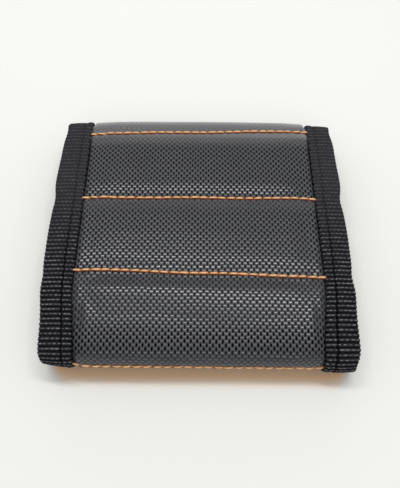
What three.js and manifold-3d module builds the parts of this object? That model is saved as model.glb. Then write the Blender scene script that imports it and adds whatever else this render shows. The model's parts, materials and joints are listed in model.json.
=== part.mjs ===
// Magnetic tool wristband, closed with its hook and loop patches and pressed flat.
// Millimetres, +Z up. The wrist passes along X. The origin is on the table, under the middle.
// The band is a sewn sandwich: woven shell, foam with magnets, mesh lining and bound edges.
// It runs as one line: outer flap, front fold, top, back fold, inner flap.
import * as THREE from "three";
import Module from "manifold-3d";
import { mergeVertices } from "three/addons/utils/BufferGeometryUtils.js";

// Band and its layers
const BAND_WIDTH = 90;
const PANEL_PITCH = 27.5;
const SHELL = 0.6;
const CORE = 1.8;
const LINING = 0.6;
const BAND = SHELL + CORE + LINING;

// Flattened loop
const WRIST_GAP = 4.6;
const CLOSURE_GAP = 0.3;
const TAIL_LENGTH = 32;
const INNER_FLAP_LENGTH = 34;
const FRONT_ROW_ANGLE = THREE.MathUtils.degToRad(68);
const FRONT_SLOPE_ANGLE = THREE.MathUtils.degToRad(11);
const FRONT_SLOPE_RADIUS = 80;
const BACK_ROW_SETBACK = 1.75;
const HINGE_GAP = 0.3;

// Edge binding tape
const TAPE = 0.8;
const TAPE_LEG = 9;
const TAPE_CORNER = 1.2;
const TAPE_CORNER_STEPS = 3;
const TAPE_FIT = 0.1;
const TAPE_GAP = 0.3;
const EDGE_RAMP = 1.5;

// Pillow of each pocket
const CROWN = 0.5;
const ROW_SINK = 0.5;
const ROW_FLAT = 0.5;
const ROW_RISE = 7;
const CROWN_SHOULDER = 2.3;
const CROWN_SHOULDER_SHARE = 0.7;
const CROWN_RUN = 4;

// Magnets and foam
const MAGNET_WIDTH = 10;
const MAGNET = 1.5;
const MAGNET_CHAMFER = 0.3;
const MAGNET_FIT = 0.2;
const MAGNET_WALL = 0.65;
const LAYER_FIT = 0.05;
const FOAM_MARGIN = 3;
const FOAM_FRONT_MARGIN = 0.3;

// Hook and loop patches
const HOOK_PATCH = 1.15;
const LOOP_PATCH = 0.85;
const PATCH_CORNER = 3;
const PATCH_MARGIN = 1.2;
const STEP_RUN = 3;

// Sewing thread
const THREAD_WIDTH = 0.7;
const THREAD_HEIGHT = 0.44;
const THREAD_DIP = 0.25;
const THREAD_LIFT = 0.05;
const STITCH_LENGTH = 3.1;
const STITCH_SLOPE = 0.2;

// Facets
const FOLD_STEPS = 12;
const SLOPE_STEPS = 4;
const ROW_STEPS = [0.2, 0.45, 0.7, 1];
const PATCH_CORNER_STEPS = 4;

// Heights of the stack, from the table up
const CLOSURE_LEVEL = BAND + CLOSURE_GAP;
const STACK = CLOSURE_LEVEL + BAND + WRIST_GAP + BAND;
const FRONT_SLOPE_DROP = FRONT_SLOPE_RADIUS * (1 - Math.cos(FRONT_SLOPE_ANGLE));
const FRONT_RADIUS = (STACK - FRONT_SLOPE_DROP) / (1 + Math.cos(FRONT_SLOPE_ANGLE));
const BACK_RADIUS = (STACK - CLOSURE_LEVEL) / 2;

// Places along the band's outer face, from the outer flap's tip to the inner flap's tip
const TAIL_ROW = TAIL_LENGTH;
const FLAP_ROW = TAIL_ROW + PANEL_PITCH;
const FRONT_ROW = FLAP_ROW + PANEL_PITCH;
const SLOPE_START = FRONT_ROW + FRONT_RADIUS * (FRONT_ROW_ANGLE - FRONT_SLOPE_ANGLE);
const TOP_START = SLOPE_START + FRONT_SLOPE_RADIUS * FRONT_SLOPE_ANGLE;
const FRONT_FOLD_START = SLOPE_START - FRONT_RADIUS * (Math.PI - FRONT_SLOPE_ANGLE);
const TOP_ROWS = [1, 2, 3].map((count) => FRONT_ROW + count * PANEL_PITCH);
const BACK_FOLD_START = TOP_ROWS[2] + BACK_ROW_SETBACK;
const INNER_START = BACK_FOLD_START + BACK_RADIUS * Math.PI;
const BAND_END = INNER_START + INNER_FLAP_LENGTH;
const FRONT_LOWER_HINGE = FRONT_FOLD_START + (FRONT_RADIUS * Math.PI) / 4;
const FRONT_UPPER_HINGE = FRONT_FOLD_START + (FRONT_RADIUS * 3 * Math.PI) / 4;
const BACK_UPPER_HINGE = BACK_FOLD_START + (BACK_RADIUS * Math.PI) / 4;
const BACK_LOWER_HINGE = INNER_START - (BACK_RADIUS * Math.PI) / 4;
const BACK_FOLD_MIDDLE = (BACK_UPPER_HINGE + BACK_LOWER_HINGE) / 2;

// Axes of the two folds, with the whole stack centred front to back
const SLOPE_RUN = (FRONT_SLOPE_RADIUS - FRONT_RADIUS) * Math.sin(FRONT_SLOPE_ANGLE);
const FOLD_SPAN = SLOPE_RUN + BACK_FOLD_START - TOP_START;
const FRONT_AXIS_Y = (FRONT_RADIUS - BACK_RADIUS - CROWN - FOLD_SPAN) / 2;
const TOP_START_Y = FRONT_AXIS_Y + SLOPE_RUN;
const BACK_AXIS_Y = FRONT_AXIS_Y + FOLD_SPAN;
const BACK_AXIS_Z = STACK - BACK_RADIUS;

// Places across the band
const TAPE_INNER_X = BAND_WIDTH / 2 - TAPE_LEG;
const CLOTH_EDGE_X = BAND_WIDTH / 2 - TAPE - TAPE_FIT;
const EDGE_X = TAPE_INNER_X - TAPE_GAP;
const FIELD_X = EDGE_X - EDGE_RAMP;
const SHOULDER_X = FIELD_X - CROWN_SHOULDER;
const CROWN_X = SHOULDER_X - CROWN_RUN;

// Three magnets side by side fill the width of a pocket's foam
const MAGNET_SPACING = (2 * SHOULDER_X - MAGNET_WALL) / 3;
const MAGNET_LENGTH = MAGNET_SPACING - MAGNET_WALL - 2 * MAGNET_FIT;

// Depths inward from the outer face
const EDGE_SHELL_DEPTH = TAPE + LAYER_FIT;
const EDGE_LINING_DEPTH = BAND - TAPE - LAYER_FIT - LINING;
const LINING_DEPTH = SHELL + CORE;
const TAIL_LINING_DEPTH = BAND - HOOK_PATCH - LINING - LAYER_FIT;
const LOOP_SEAT_DEPTH = LOOP_PATCH + LAYER_FIT;
const LOOP_PROUD = CLOSURE_GAP / 2;
const TIP_INSET = TAPE + TAPE_FIT;
const END_ZONE = TAPE_LEG + TAPE_GAP;
const HOOK_START = END_ZONE + EDGE_RAMP;
const HOOK_END = TAIL_ROW - 2 * STEP_RUN;

const { smoothstep, mapLinear } = THREE.MathUtils;
const wasm = await Module();
wasm.setup();

const CLOTH_SHELL = new THREE.MeshStandardMaterial({ color: "#3d3e42", roughness: 0.55 });
const CLOTH_LINING = new THREE.MeshStandardMaterial({ color: "#1d1d20", roughness: 0.9 });
const WEBBING = new THREE.MeshStandardMaterial({ color: "#1b1a1e", roughness: 0.75 });
const FOAM = new THREE.MeshStandardMaterial({ color: "#2b2b2e", roughness: 0.95 });
const NICKEL = new THREE.MeshStandardMaterial({ color: "#b9bcc0", roughness: 0.25, metalness: 1 });
const THREAD = new THREE.MeshStandardMaterial({ color: "#d98a4e", roughness: 0.6 });
const HOOK_TAPE = new THREE.MeshStandardMaterial({ color: "#161618", roughness: 0.7 });
const LOOP_TAPE = new THREE.MeshStandardMaterial({ color: "#202024", roughness: 0.95 });

const band = new THREE.Group();

function addPiece(name, geometry, material) {
  const mesh = new THREE.Mesh(geometry, material);
  mesh.name = name;
  band.add(mesh);
  return mesh;
}

// A point of the outer face in the YZ plane, with its outward normal
function flatFace(y, z, up) {
  return { y, z, normalY: 0, normalZ: up };
}

function foldFace(axisY, axisZ, radius, angle) {
  const normalY = Math.sin(angle);
  const normalZ = Math.cos(angle);
  return { y: axisY + radius * normalY, z: axisZ + radius * normalZ, normalY, normalZ };
}

function outerFace(place) {
  if (place <= FRONT_FOLD_START) return flatFace(FRONT_AXIS_Y + FRONT_FOLD_START - place, 0, -1);
  if (place < SLOPE_START) {
    const angle = (place - FRONT_FOLD_START) / FRONT_RADIUS - Math.PI;
    return foldFace(FRONT_AXIS_Y, FRONT_RADIUS, FRONT_RADIUS, angle);
  }
  if (place < TOP_START) {
    const angle = (place - TOP_START) / FRONT_SLOPE_RADIUS;
    return foldFace(TOP_START_Y, STACK - FRONT_SLOPE_RADIUS, FRONT_SLOPE_RADIUS, angle);
  }
  if (place <= BACK_FOLD_START) return flatFace(TOP_START_Y + place - TOP_START, STACK, 1);
  if (place < INNER_START) {
    const angle = (place - BACK_FOLD_START) / BACK_RADIUS;
    return foldFace(BACK_AXIS_Y, BACK_AXIS_Z, BACK_RADIUS, angle);
  }
  return flatFace(BACK_AXIS_Y - (place - INNER_START), CLOSURE_LEVEL, -1);
}

function bandPoint(place, x, depth) {
  const face = outerFace(place);
  return new THREE.Vector3(x, face.y - depth * face.normalY, face.z - depth * face.normalZ);
}

// Height read from a list of [place, height] pairs, eased between them
function easedLine(line, place) {
  const next = line.findIndex(([key]) => key > place);
  if (next === 0) return line[0][1];
  if (next < 0) return line[line.length - 1][1];
  const [from, low] = line[next - 1];
  const [to, high] = line[next];
  return low + (high - low) * smoothstep(place, from, to);
}

// A sewn row holds the shell down along a narrow flat
function sunkRow(row) {
  return [row - ROW_FLAT, row + ROW_FLAT].map((place) => [place, -ROW_SINK]);
}

// Rise of the shell above the band's outer face: pillows, sunk rows and pinched ends
const SHELL_LINE = [
  [END_ZONE, -EDGE_SHELL_DEPTH],
  [END_ZONE + EDGE_RAMP, 0],
  [TAIL_ROW - STEP_RUN, 0],
  ...sunkRow(TAIL_ROW),
  [TAIL_ROW + ROW_RISE, 0],
  [FLAP_ROW - ROW_RISE, 0],
  ...sunkRow(FLAP_ROW),
  [FRONT_FOLD_START, 0],
  [FRONT_LOWER_HINGE, 0],
  ...sunkRow(FRONT_ROW),
  [FRONT_UPPER_HINGE, 0],
  [SLOPE_START + ROW_RISE / 2, CROWN],
  [TOP_ROWS[0] - ROW_RISE, CROWN],
  ...sunkRow(TOP_ROWS[0]),
  [TOP_ROWS[0] + ROW_RISE, CROWN],
  [TOP_ROWS[1] - ROW_RISE, CROWN],
  ...sunkRow(TOP_ROWS[1]),
  [TOP_ROWS[1] + ROW_RISE, CROWN],
  [TOP_ROWS[2] - ROW_RISE, CROWN],
  ...sunkRow(TOP_ROWS[2]),
  [BACK_UPPER_HINGE, 0],
  [BACK_FOLD_MIDDLE, CROWN],
  [BACK_LOWER_HINGE, 0],
  [INNER_START, 0],
  [INNER_START + STEP_RUN, -LOOP_SEAT_DEPTH],
];

// Depth of the lining's hidden side
const LINING_LINE = [
  [END_ZONE, EDGE_LINING_DEPTH],
  [END_ZONE + EDGE_RAMP, TAIL_LINING_DEPTH],
  [HOOK_END, TAIL_LINING_DEPTH],
  [TAIL_ROW - STEP_RUN, LINING_DEPTH],
  [BAND_END - END_ZONE - EDGE_RAMP, LINING_DEPTH],
  [BAND_END - END_ZONE, EDGE_LINING_DEPTH],
];

const FOLD_KEYS = [];
for (let step = 0; step <= FOLD_STEPS; step++) {
  FOLD_KEYS.push(mapLinear(step, 0, FOLD_STEPS, FRONT_FOLD_START, SLOPE_START));
  FOLD_KEYS.push(mapLinear(step, 0, FOLD_STEPS, BACK_FOLD_START, INNER_START));
}
for (let step = 1; step <= SLOPE_STEPS; step++) {
  FOLD_KEYS.push(mapLinear(step, 0, SLOPE_STEPS, SLOPE_START, TOP_START));
}
const LINING_KEYS = [...FOLD_KEYS, ...LINING_LINE.map(([place]) => place)];
const SHELL_KEYS = [...FOLD_KEYS, ...SHELL_LINE.map(([place]) => place)];
for (const row of [TAIL_ROW, FLAP_ROW, FRONT_ROW, ...TOP_ROWS]) {
  for (const step of ROW_STEPS) SHELL_KEYS.push(row - step * ROW_RISE, row + step * ROW_RISE);
}

// Stations of a loft from one place to another, through the keys that lie between
function stations(from, to, keys) {
  const inside = keys.filter((key) => key > from + LAYER_FIT && key < to - LAYER_FIT);
  const all = [from, ...inside, to].sort((a, b) => a - b);
  return all.filter((key, index) => index === 0 || key - all[index - 1] > LAYER_FIT);
}

// A closed solid through a section of [x, depth] points at each station.
// The section runs anticlockwise as seen along the band, with the outer face up.
function loft(places, sectionAt) {
  const sections = places.map(sectionAt);
  const count = sections[0].length;
  const positions = [];
  sections.forEach((section, ring) => {
    for (const [x, depth] of section) positions.push(...bandPoint(places[ring], x, depth));
  });
  const index = [];
  for (let ring = 0; ring + 1 < places.length; ring++) {
    for (let corner = 0; corner < count; corner++) {
      const next = (corner + 1) % count;
      const near = ring * count;
      const far = near + count;
      index.push(near + corner, far + next, near + next);
      index.push(near + corner, far + corner, far + next);
    }
  }
  const capOf = (section) => {
    const outline = section.map(([x, depth]) => new THREE.Vector2(x, -depth));
    return THREE.ShapeUtils.triangulateShape(outline, []);
  };
  const last = (places.length - 1) * count;
  for (const [a, b, c] of capOf(sections[0])) index.push(a, b, c);
  for (const [a, b, c] of capOf(sections[places.length - 1])) index.push(last + a, last + c, last + b);
  const geometry = new THREE.BufferGeometry();
  geometry.setAttribute("position", new THREE.Float32BufferAttribute(positions, 3));
  geometry.setIndex(index);
  return geometry;
}

// Depth of the shell's outer side, sunk at the bound edges and crowned between them
function shellDepth(place, x) {
  const rise = easedLine(SHELL_LINE, place);
  const field = Math.max(LAYER_FIT, -rise);
  const shoulder = rise > 0 ? -rise * CROWN_SHOULDER_SHARE : -rise;
  const across = Math.abs(x);
  if (across >= EDGE_X) return EDGE_SHELL_DEPTH;
  if (across >= FIELD_X) return mapLinear(across, FIELD_X, EDGE_X, field, EDGE_SHELL_DEPTH);
  if (across >= SHOULDER_X) return mapLinear(across, SHOULDER_X, FIELD_X, shoulder, field);
  if (across >= CROWN_X) return mapLinear(across, CROWN_X, SHOULDER_X, -rise, shoulder);
  return -rise;
}

function mirrored(places) {
  return [...places.map((x) => -x).reverse(), ...places];
}

const SHELL_X = mirrored([CROWN_X, SHOULDER_X, FIELD_X, EDGE_X, CLOTH_EDGE_X]);
const LINING_X = mirrored([FIELD_X, EDGE_X, CLOTH_EDGE_X]);
const FOAM_X = mirrored([CROWN_X, SHOULDER_X]);

function shell(from, to) {
  return loft(stations(from, to, SHELL_KEYS), (place) => {
    const outer = SHELL_X.map((x) => [x, shellDepth(place, x)]);
    const inner = outer.map(([x, depth]) => [x, depth + SHELL]);
    return [...inner, ...outer.reverse()];
  });
}

function lining(from, to) {
  return loft(stations(from, to, LINING_KEYS), (place) => {
    const field = easedLine(LINING_LINE, place);
    const depthAt = (x) => (Math.abs(x) >= EDGE_X ? EDGE_LINING_DEPTH : field);
    const hidden = LINING_X.map((x) => [x, depthAt(x)]);
    const skin = hidden.map(([x, depth]) => [x, depth + LINING]);
    return [...skin, ...hidden.reverse()];
  });
}

// Foam that fills the room between the shell and the lining
function foam(from, to) {
  return loft(stations(from, to, SHELL_KEYS), (place) => {
    const top = FOAM_X.map((x) => [x, shellDepth(place, x) + SHELL + LAYER_FIT]);
    const floor = easedLine(LINING_LINE, place) - LAYER_FIT;
    return [...FOAM_X.map((x) => [x, floor]), ...top.reverse()];
  });
}

// Tape folded round one long edge of the band
function tapeSection(side) {
  const edge = BAND_WIDTH / 2;
  const points = [
    [TAPE_INNER_X, TAPE],
    [TAPE_INNER_X, 0],
  ];
  for (let step = 0; step <= TAPE_CORNER_STEPS; step++) {
    const turn = (step / TAPE_CORNER_STEPS) * (Math.PI / 2);
    points.push([edge - TAPE_CORNER * (1 - Math.sin(turn)), TAPE_CORNER * (1 - Math.cos(turn))]);
  }
  for (let step = 0; step <= TAPE_CORNER_STEPS; step++) {
    const turn = (step / TAPE_CORNER_STEPS) * (Math.PI / 2);
    const drop = TAPE_CORNER * (1 - Math.sin(turn));
    points.push([edge - TAPE_CORNER * (1 - Math.cos(turn)), BAND - drop]);
  }
  points.push([TAPE_INNER_X, BAND], [TAPE_INNER_X, BAND - TAPE]);
  points.push([edge - TAPE, BAND - TAPE], [edge - TAPE, TAPE]);
  const placed = points.map(([x, depth]) => [side * x, depth]);
  return side > 0 ? placed.reverse() : placed;
}

function addTapes(name, from, to) {
  for (const [side, word] of [[-1, "left"], [1, "right"]]) {
    const section = tapeSection(side);
    addPiece(`${name}_binding_${word}`, loft(stations(from, to, FOLD_KEYS), () => section), WEBBING);
  }
}

// Tape folded round a cut end of the band, between the two long tapes
function endTape(tip, inward) {
  const leg = tip + inward * TAPE_LEG;
  const web = tip + inward * TAPE;
  const corners = [
    [leg, 0],
    [tip, 0],
    [tip, BAND],
    [leg, BAND],
    [leg, BAND - TAPE],
    [web, BAND - TAPE],
    [web, TAPE],
    [leg, TAPE],
  ];
  const outline = new THREE.Shape(
    corners.map(([place, depth]) => {
      const point = bandPoint(place, 0, depth);
      return new THREE.Vector2(point.y, point.z);
    }),
  );
  return alongX(outline, 2 * EDGE_X);
}

// An outline of the YZ plane, extruded across the band
function alongX(outline, length) {
  const geometry = new THREE.ExtrudeGeometry(outline, { depth: length, bevelEnabled: false });
  const axes = new THREE.Matrix4().makeBasis(
    new THREE.Vector3(0, 1, 0),
    new THREE.Vector3(0, 0, 1),
    new THREE.Vector3(1, 0, 0),
  );
  return geometry.applyMatrix4(axes).translate(-length / 2, 0, 0);
}

// A flat plate with round corners, between two places and two depths of the band
function patch(from, to, halfWidth, outerDepth, innerDepth) {
  const near = bandPoint(from, 0, outerDepth);
  const far = bandPoint(to, 0, innerDepth);
  const low = Math.min(near.y, far.y) + PATCH_CORNER;
  const high = Math.max(near.y, far.y) - PATCH_CORNER;
  const side = halfWidth - PATCH_CORNER;
  const outline = new THREE.Shape();
  outline.absarc(side, low, PATCH_CORNER, -Math.PI / 2, 0);
  outline.absarc(side, high, PATCH_CORNER, 0, Math.PI / 2);
  outline.absarc(-side, high, PATCH_CORNER, Math.PI / 2, Math.PI);
  outline.absarc(-side, low, PATCH_CORNER, Math.PI, 1.5 * Math.PI);
  return new THREE.ExtrudeGeometry(outline, {
    depth: Math.abs(far.z - near.z),
    bevelEnabled: false,
    curveSegments: PATCH_CORNER_STEPS,
  }).translate(0, 0, Math.min(near.z, far.z));
}

// One row of lockstitch: a thread that dips into the cloth at each needle hole
function stitchRow(name, place) {
  const half = FIELD_X;
  const count = Math.round((2 * half) / STITCH_LENGTH);
  const step = (2 * half) / count;
  const outline = new THREE.Shape();
  outline.moveTo(-half, 0);
  outline.lineTo(half, 0);
  outline.lineTo(half, THREAD_HEIGHT - THREAD_DIP);
  for (let stitch = count - 1; stitch >= 0; stitch--) {
    const start = -half + stitch * step;
    outline.lineTo(start + (1 - STITCH_SLOPE) * step, THREAD_HEIGHT);
    outline.lineTo(start + STITCH_SLOPE * step, THREAD_HEIGHT);
    outline.lineTo(start, THREAD_HEIGHT - THREAD_DIP);
  }
  const options = { depth: THREAD_WIDTH, bevelEnabled: false };
  const thread = new THREE.ExtrudeGeometry(outline, options).translate(0, 0, -THREAD_WIDTH / 2);
  const face = outerFace(place);
  const mesh = addPiece(name, thread, THREAD);
  mesh.position.copy(bandPoint(place, 0, ROW_SINK - THREAD_LIFT));
  mesh.rotation.x = Math.atan2(face.normalZ, face.normalY);
}

// A plated bar magnet with broken edges, lying on the lining
function magnetBar() {
  const inner = new THREE.Shape();
  const x = MAGNET_LENGTH / 2 - MAGNET_CHAMFER;
  const y = MAGNET_WIDTH / 2 - MAGNET_CHAMFER;
  inner.moveTo(-x, -y).lineTo(x, -y).lineTo(x, y).lineTo(-x, y);
  return new THREE.ExtrudeGeometry(inner, {
    depth: MAGNET - 2 * MAGNET_CHAMFER,
    bevelSize: MAGNET_CHAMFER,
    bevelThickness: MAGNET_CHAMFER,
    bevelSegments: 1,
  }).translate(0, 0, MAGNET_CHAMFER - MAGNET / 2);
}

function solidOf(geometry) {
  const bare = geometry.index ? geometry.toNonIndexed() : geometry.clone();
  bare.deleteAttribute("normal");
  bare.deleteAttribute("uv");
  const merged = mergeVertices(bare);
  return new wasm.Manifold(
    new wasm.Mesh({
      numProp: 3,
      vertProperties: merged.attributes.position.array,
      triVerts: new Uint32Array(merged.index.array),
    }),
  );
}

function geometryOf(solid) {
  const mesh = solid.getMesh();
  const geometry = new THREE.BufferGeometry();
  geometry.setAttribute("position", new THREE.BufferAttribute(mesh.vertProperties, 3));
  geometry.setIndex(new THREE.BufferAttribute(mesh.triVerts, 1));
  return geometry;
}

// A foam pad with a window for each of its magnets, and the magnets in the windows
function addMagnetPad(name, from, to) {
  const middle = (from + to) / 2;
  const face = outerFace(middle);
  const tilt = Math.atan2(-face.normalY, face.normalZ);
  const magnetDepth = LINING_DEPTH - LAYER_FIT - MAGNET / 2;
  let pad = solidOf(foam(from, to));
  for (const [column, word] of [[-1, "left"], [0, "centre"], [1, "right"]]) {
    const centre = bandPoint(middle, column * MAGNET_SPACING, magnetDepth);
    const window = new THREE.BoxGeometry(
      MAGNET_LENGTH + 2 * MAGNET_FIT,
      MAGNET_WIDTH + 2 * MAGNET_FIT,
      2 * BAND,
    );
    window.rotateX(tilt).translate(centre.x, centre.y, centre.z);
    pad = pad.subtract(solidOf(window));
    const magnet = addPiece(`${name}_magnet_${word}`, magnetBar(), NICKEL);
    magnet.position.copy(centre);
    magnet.rotation.x = tilt;
  }
  addPiece(`${name}_foam`, geometryOf(pad), FOAM);
}

// Each body's stretch of the band, with room at its hinges
const half = HINGE_GAP / 2;
const OUTER_FLAP = [TIP_INSET, FRONT_LOWER_HINGE - half];
const FRONT_FOLD = [FRONT_LOWER_HINGE + half, FRONT_UPPER_HINGE - half];
const TOP = [FRONT_UPPER_HINGE + half, BACK_UPPER_HINGE - half];
const BACK_FOLD = [BACK_UPPER_HINGE + half, BACK_LOWER_HINGE - half];
const INNER_FLAP = [BACK_LOWER_HINGE + half, BAND_END - TIP_INSET];

function addCloth(name, [from, to]) {
  addPiece(`${name}_shell`, shell(from, to), CLOTH_SHELL);
  addPiece(`${name}_lining`, lining(from, to), CLOTH_LINING);
}

// Outer flap on the table, with the hook patch on its tail and one row of magnets
addCloth("outer_flap", OUTER_FLAP);
addPiece("tail_stiffener", foam(HOOK_START, HOOK_END), FOAM);
addPiece("hook_patch", patch(HOOK_START, HOOK_END, FIELD_X, BAND - HOOK_PATCH, BAND), HOOK_TAPE);
addMagnetPad("flap_pocket", TAIL_ROW + FOAM_MARGIN, FLAP_ROW - FOAM_MARGIN);
addPiece("outer_flap_end_binding", endTape(0, 1), WEBBING);
addTapes("outer_flap", 0, OUTER_FLAP[1]);
stitchRow("tail_stitch", TAIL_ROW);
stitchRow("flap_stitch", FLAP_ROW);

// Front fold
addCloth("front_fold", FRONT_FOLD);
addTapes("front_fold", ...FRONT_FOLD);
stitchRow("front_stitch", FRONT_ROW);

// Top of three magnet pockets
const padStarts = [SLOPE_START + FOAM_FRONT_MARGIN, TOP_ROWS[0] + FOAM_MARGIN, TOP_ROWS[1] + FOAM_MARGIN];
const rowNames = ["front_pocket", "middle_pocket", "back_pocket"];
addCloth("top", TOP);
addTapes("top", ...TOP);
rowNames.forEach((name, pocket) => {
  addMagnetPad(name, padStarts[pocket], TOP_ROWS[pocket] - FOAM_MARGIN);
  stitchRow(`${name}_stitch`, TOP_ROWS[pocket]);
});

// Back fold
addCloth("back_fold", BACK_FOLD);
addTapes("back_fold", ...BACK_FOLD);

// Inner flap with the loop patch, facing down onto the hooks
const loopStart = INNER_START + STEP_RUN + PATCH_MARGIN;
const innerPadStart = INNER_START + STEP_RUN;
const innerPadEnd = BAND_END - END_ZONE - EDGE_RAMP;
addCloth("inner_flap", INNER_FLAP);
addPiece("inner_flap_foam", foam(innerPadStart, innerPadEnd), FOAM);
const loops = patch(loopStart, BAND_END - END_ZONE, FIELD_X, -LOOP_PROUD, LOOP_PATCH);
addPiece("loop_patch", loops, LOOP_TAPE);
addPiece("inner_flap_end_binding", endTape(BAND_END, -1), WEBBING);
addTapes("inner_flap", INNER_FLAP[0], BAND_END);

export default band;
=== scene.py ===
"""Magnetic wristband, closed and pressed flat on a pale table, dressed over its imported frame.

The band is one long quilt. It starts at the outer flap's tip under the loop, turns up round the
front fold, runs over the top, turns down round the back fold and ends in the inner flap.
Every cloth piece is laid out by its place along that line, by its distance across the band and
by its height over the band's outer face. Metres throughout, and the table is at z = 0.
"""

import json
import math

import bpy
import numpy as np
from mathutils import Matrix, Quaternion, Vector

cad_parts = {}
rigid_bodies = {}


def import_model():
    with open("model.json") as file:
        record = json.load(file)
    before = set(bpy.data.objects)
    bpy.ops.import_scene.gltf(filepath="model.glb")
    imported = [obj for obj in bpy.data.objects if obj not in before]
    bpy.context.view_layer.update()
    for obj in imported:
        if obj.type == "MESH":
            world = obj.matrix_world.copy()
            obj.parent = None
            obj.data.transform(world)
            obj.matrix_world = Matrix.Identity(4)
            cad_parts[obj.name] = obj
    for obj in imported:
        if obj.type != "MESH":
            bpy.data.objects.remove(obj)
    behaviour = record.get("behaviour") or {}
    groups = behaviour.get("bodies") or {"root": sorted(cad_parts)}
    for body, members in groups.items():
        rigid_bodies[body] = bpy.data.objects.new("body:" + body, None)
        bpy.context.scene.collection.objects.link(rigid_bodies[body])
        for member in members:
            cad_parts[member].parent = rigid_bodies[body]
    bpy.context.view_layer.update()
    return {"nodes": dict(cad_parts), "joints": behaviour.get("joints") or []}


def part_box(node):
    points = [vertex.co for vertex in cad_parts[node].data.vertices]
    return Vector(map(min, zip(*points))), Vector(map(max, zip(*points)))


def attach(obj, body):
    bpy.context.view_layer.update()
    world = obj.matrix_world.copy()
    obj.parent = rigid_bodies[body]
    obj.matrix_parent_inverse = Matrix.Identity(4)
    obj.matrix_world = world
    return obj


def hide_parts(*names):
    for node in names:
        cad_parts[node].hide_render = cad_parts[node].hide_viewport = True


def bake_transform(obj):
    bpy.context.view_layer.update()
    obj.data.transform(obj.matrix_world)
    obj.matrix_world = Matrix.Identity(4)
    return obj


for leftover in list(bpy.data.objects):
    bpy.data.objects.remove(leftover)

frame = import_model()

MM = 0.001

# The line of the band

HINGES = {joint["name"]: joint for joint in frame["joints"]}
SLOPE_ANGLE = math.radians(11)
SLOPE_RADIUS = 80 * MM
BAND = 3.0 * MM


def fold_circle(name):
    """The axis and radius of a fold, from the hinges at its two quarter points."""
    low = HINGES[name + "_lower"]["pos_m"]
    high = HINGES[name + "_upper"]["pos_m"]
    radius = (high[2] - low[2]) / math.sqrt(2)
    reach = radius / math.sqrt(2)
    return low[1] + (reach if low[1] < 0 else -reach), (low[2] + high[2]) / 2, radius


FRONT_Y, FRONT_Z, FRONT_RADIUS = fold_circle("front_fold")
BACK_Y, BACK_Z, BACK_RADIUS = fold_circle("back_fold")
STACK = BACK_Z + BACK_RADIUS
TOP_Y = FRONT_Y + (SLOPE_RADIUS - FRONT_RADIUS) * math.sin(SLOPE_ANGLE)

# Places along the band, counted from where the flat top begins
SLOPE_START = -SLOPE_RADIUS * SLOPE_ANGLE
FRONT_MIDDLE = SLOPE_START - FRONT_RADIUS * (math.pi / 2 - SLOPE_ANGLE)
FRONT_START = SLOPE_START - FRONT_RADIUS * (math.pi - SLOPE_ANGLE)
BACK_START = BACK_Y - TOP_Y
BACK_MIDDLE = BACK_START + BACK_RADIUS * math.pi / 2
INNER_START = BACK_START + BACK_RADIUS * math.pi
OUTER_TIP = FRONT_START - (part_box("outer_flap_end_binding")[1][1] - FRONT_Y)
INNER_TIP = INNER_START + BACK_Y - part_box("inner_flap_end_binding")[0][1]


def middle_of(node):
    low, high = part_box(node)
    return (low[1] + high[1]) / 2, (low[2] + high[2]) / 2


def front_place(node):
    """The place of a row that lies on the front fold, from its angle about the fold's axis."""
    y, z = middle_of(node)
    return SLOPE_START + FRONT_RADIUS * (SLOPE_ANGLE + math.atan2(y - FRONT_Y, z - FRONT_Z))


TAIL_ROW = FRONT_START + FRONT_Y - middle_of("tail_stitch")[0]
FLAP_ROW = FRONT_START + FRONT_Y - middle_of("flap_stitch")[0]
FRONT_ROW = front_place("front_stitch")
TOP_ROWS = [middle_of(name + "_pocket_stitch")[0] - TOP_Y for name in ("front", "middle", "back")]
ROWS = [TAIL_ROW, FLAP_ROW, FRONT_ROW, *TOP_ROWS]

# How far a hand-fed row strays from its place in the middle, and from there to its right end
ROW_LIE = {FRONT_ROW: (-1.9 * MM, -0.65 * MM), TOP_ROWS[0]: (0.75 * MM, -1.1 * MM),
           TOP_ROWS[1]: (-0.1 * MM, 0), TOP_ROWS[2]: (-0.4 * MM, 0.75 * MM)}


def outer_face(place):
    """The outer face's y and z at a place along the band, and the angle of its normal from +Z."""
    place = np.asarray(place, float)
    legs = [place < FRONT_START, place < SLOPE_START, place < 0, place < BACK_START,
            place < INNER_START]
    lean = np.select(legs, [
        -math.pi,
        (place - SLOPE_START) / FRONT_RADIUS - SLOPE_ANGLE,
        place / SLOPE_RADIUS,
        0,
        (place - BACK_START) / BACK_RADIUS,
    ], math.pi)
    y = np.select(legs, [
        FRONT_Y + FRONT_START - place,
        FRONT_Y + FRONT_RADIUS * np.sin(lean),
        TOP_Y + SLOPE_RADIUS * np.sin(lean),
        TOP_Y + place,
        BACK_Y + BACK_RADIUS * np.sin(lean),
    ], BACK_Y + INNER_START - place)
    z = np.select(legs, [
        0,
        FRONT_Z + FRONT_RADIUS * np.cos(lean),
        STACK - SLOPE_RADIUS * (1 - np.cos(lean)),
        STACK,
        BACK_Z + BACK_RADIUS * np.cos(lean),
    ], BACK_Z - BACK_RADIUS)
    return y, z, lean


def lay(place, across, height):
    """Points at places along the band, distances across it and heights over its outer face."""
    y, z, lean = outer_face(place)
    return np.stack(np.broadcast_arrays(
        across, y + height * np.sin(lean), z + height * np.cos(lean)), axis=-1)


def ease(value, low, high):
    """0 below low, 1 above high and a smooth step between."""
    t = np.clip((value - low) / (high - low), 0, 1)
    return t * t * (3 - 2 * t)


def bell(value, width):
    """1 at zero, fading on both sides over about the given width."""
    return np.exp(-(value / width) ** 2)


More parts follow.
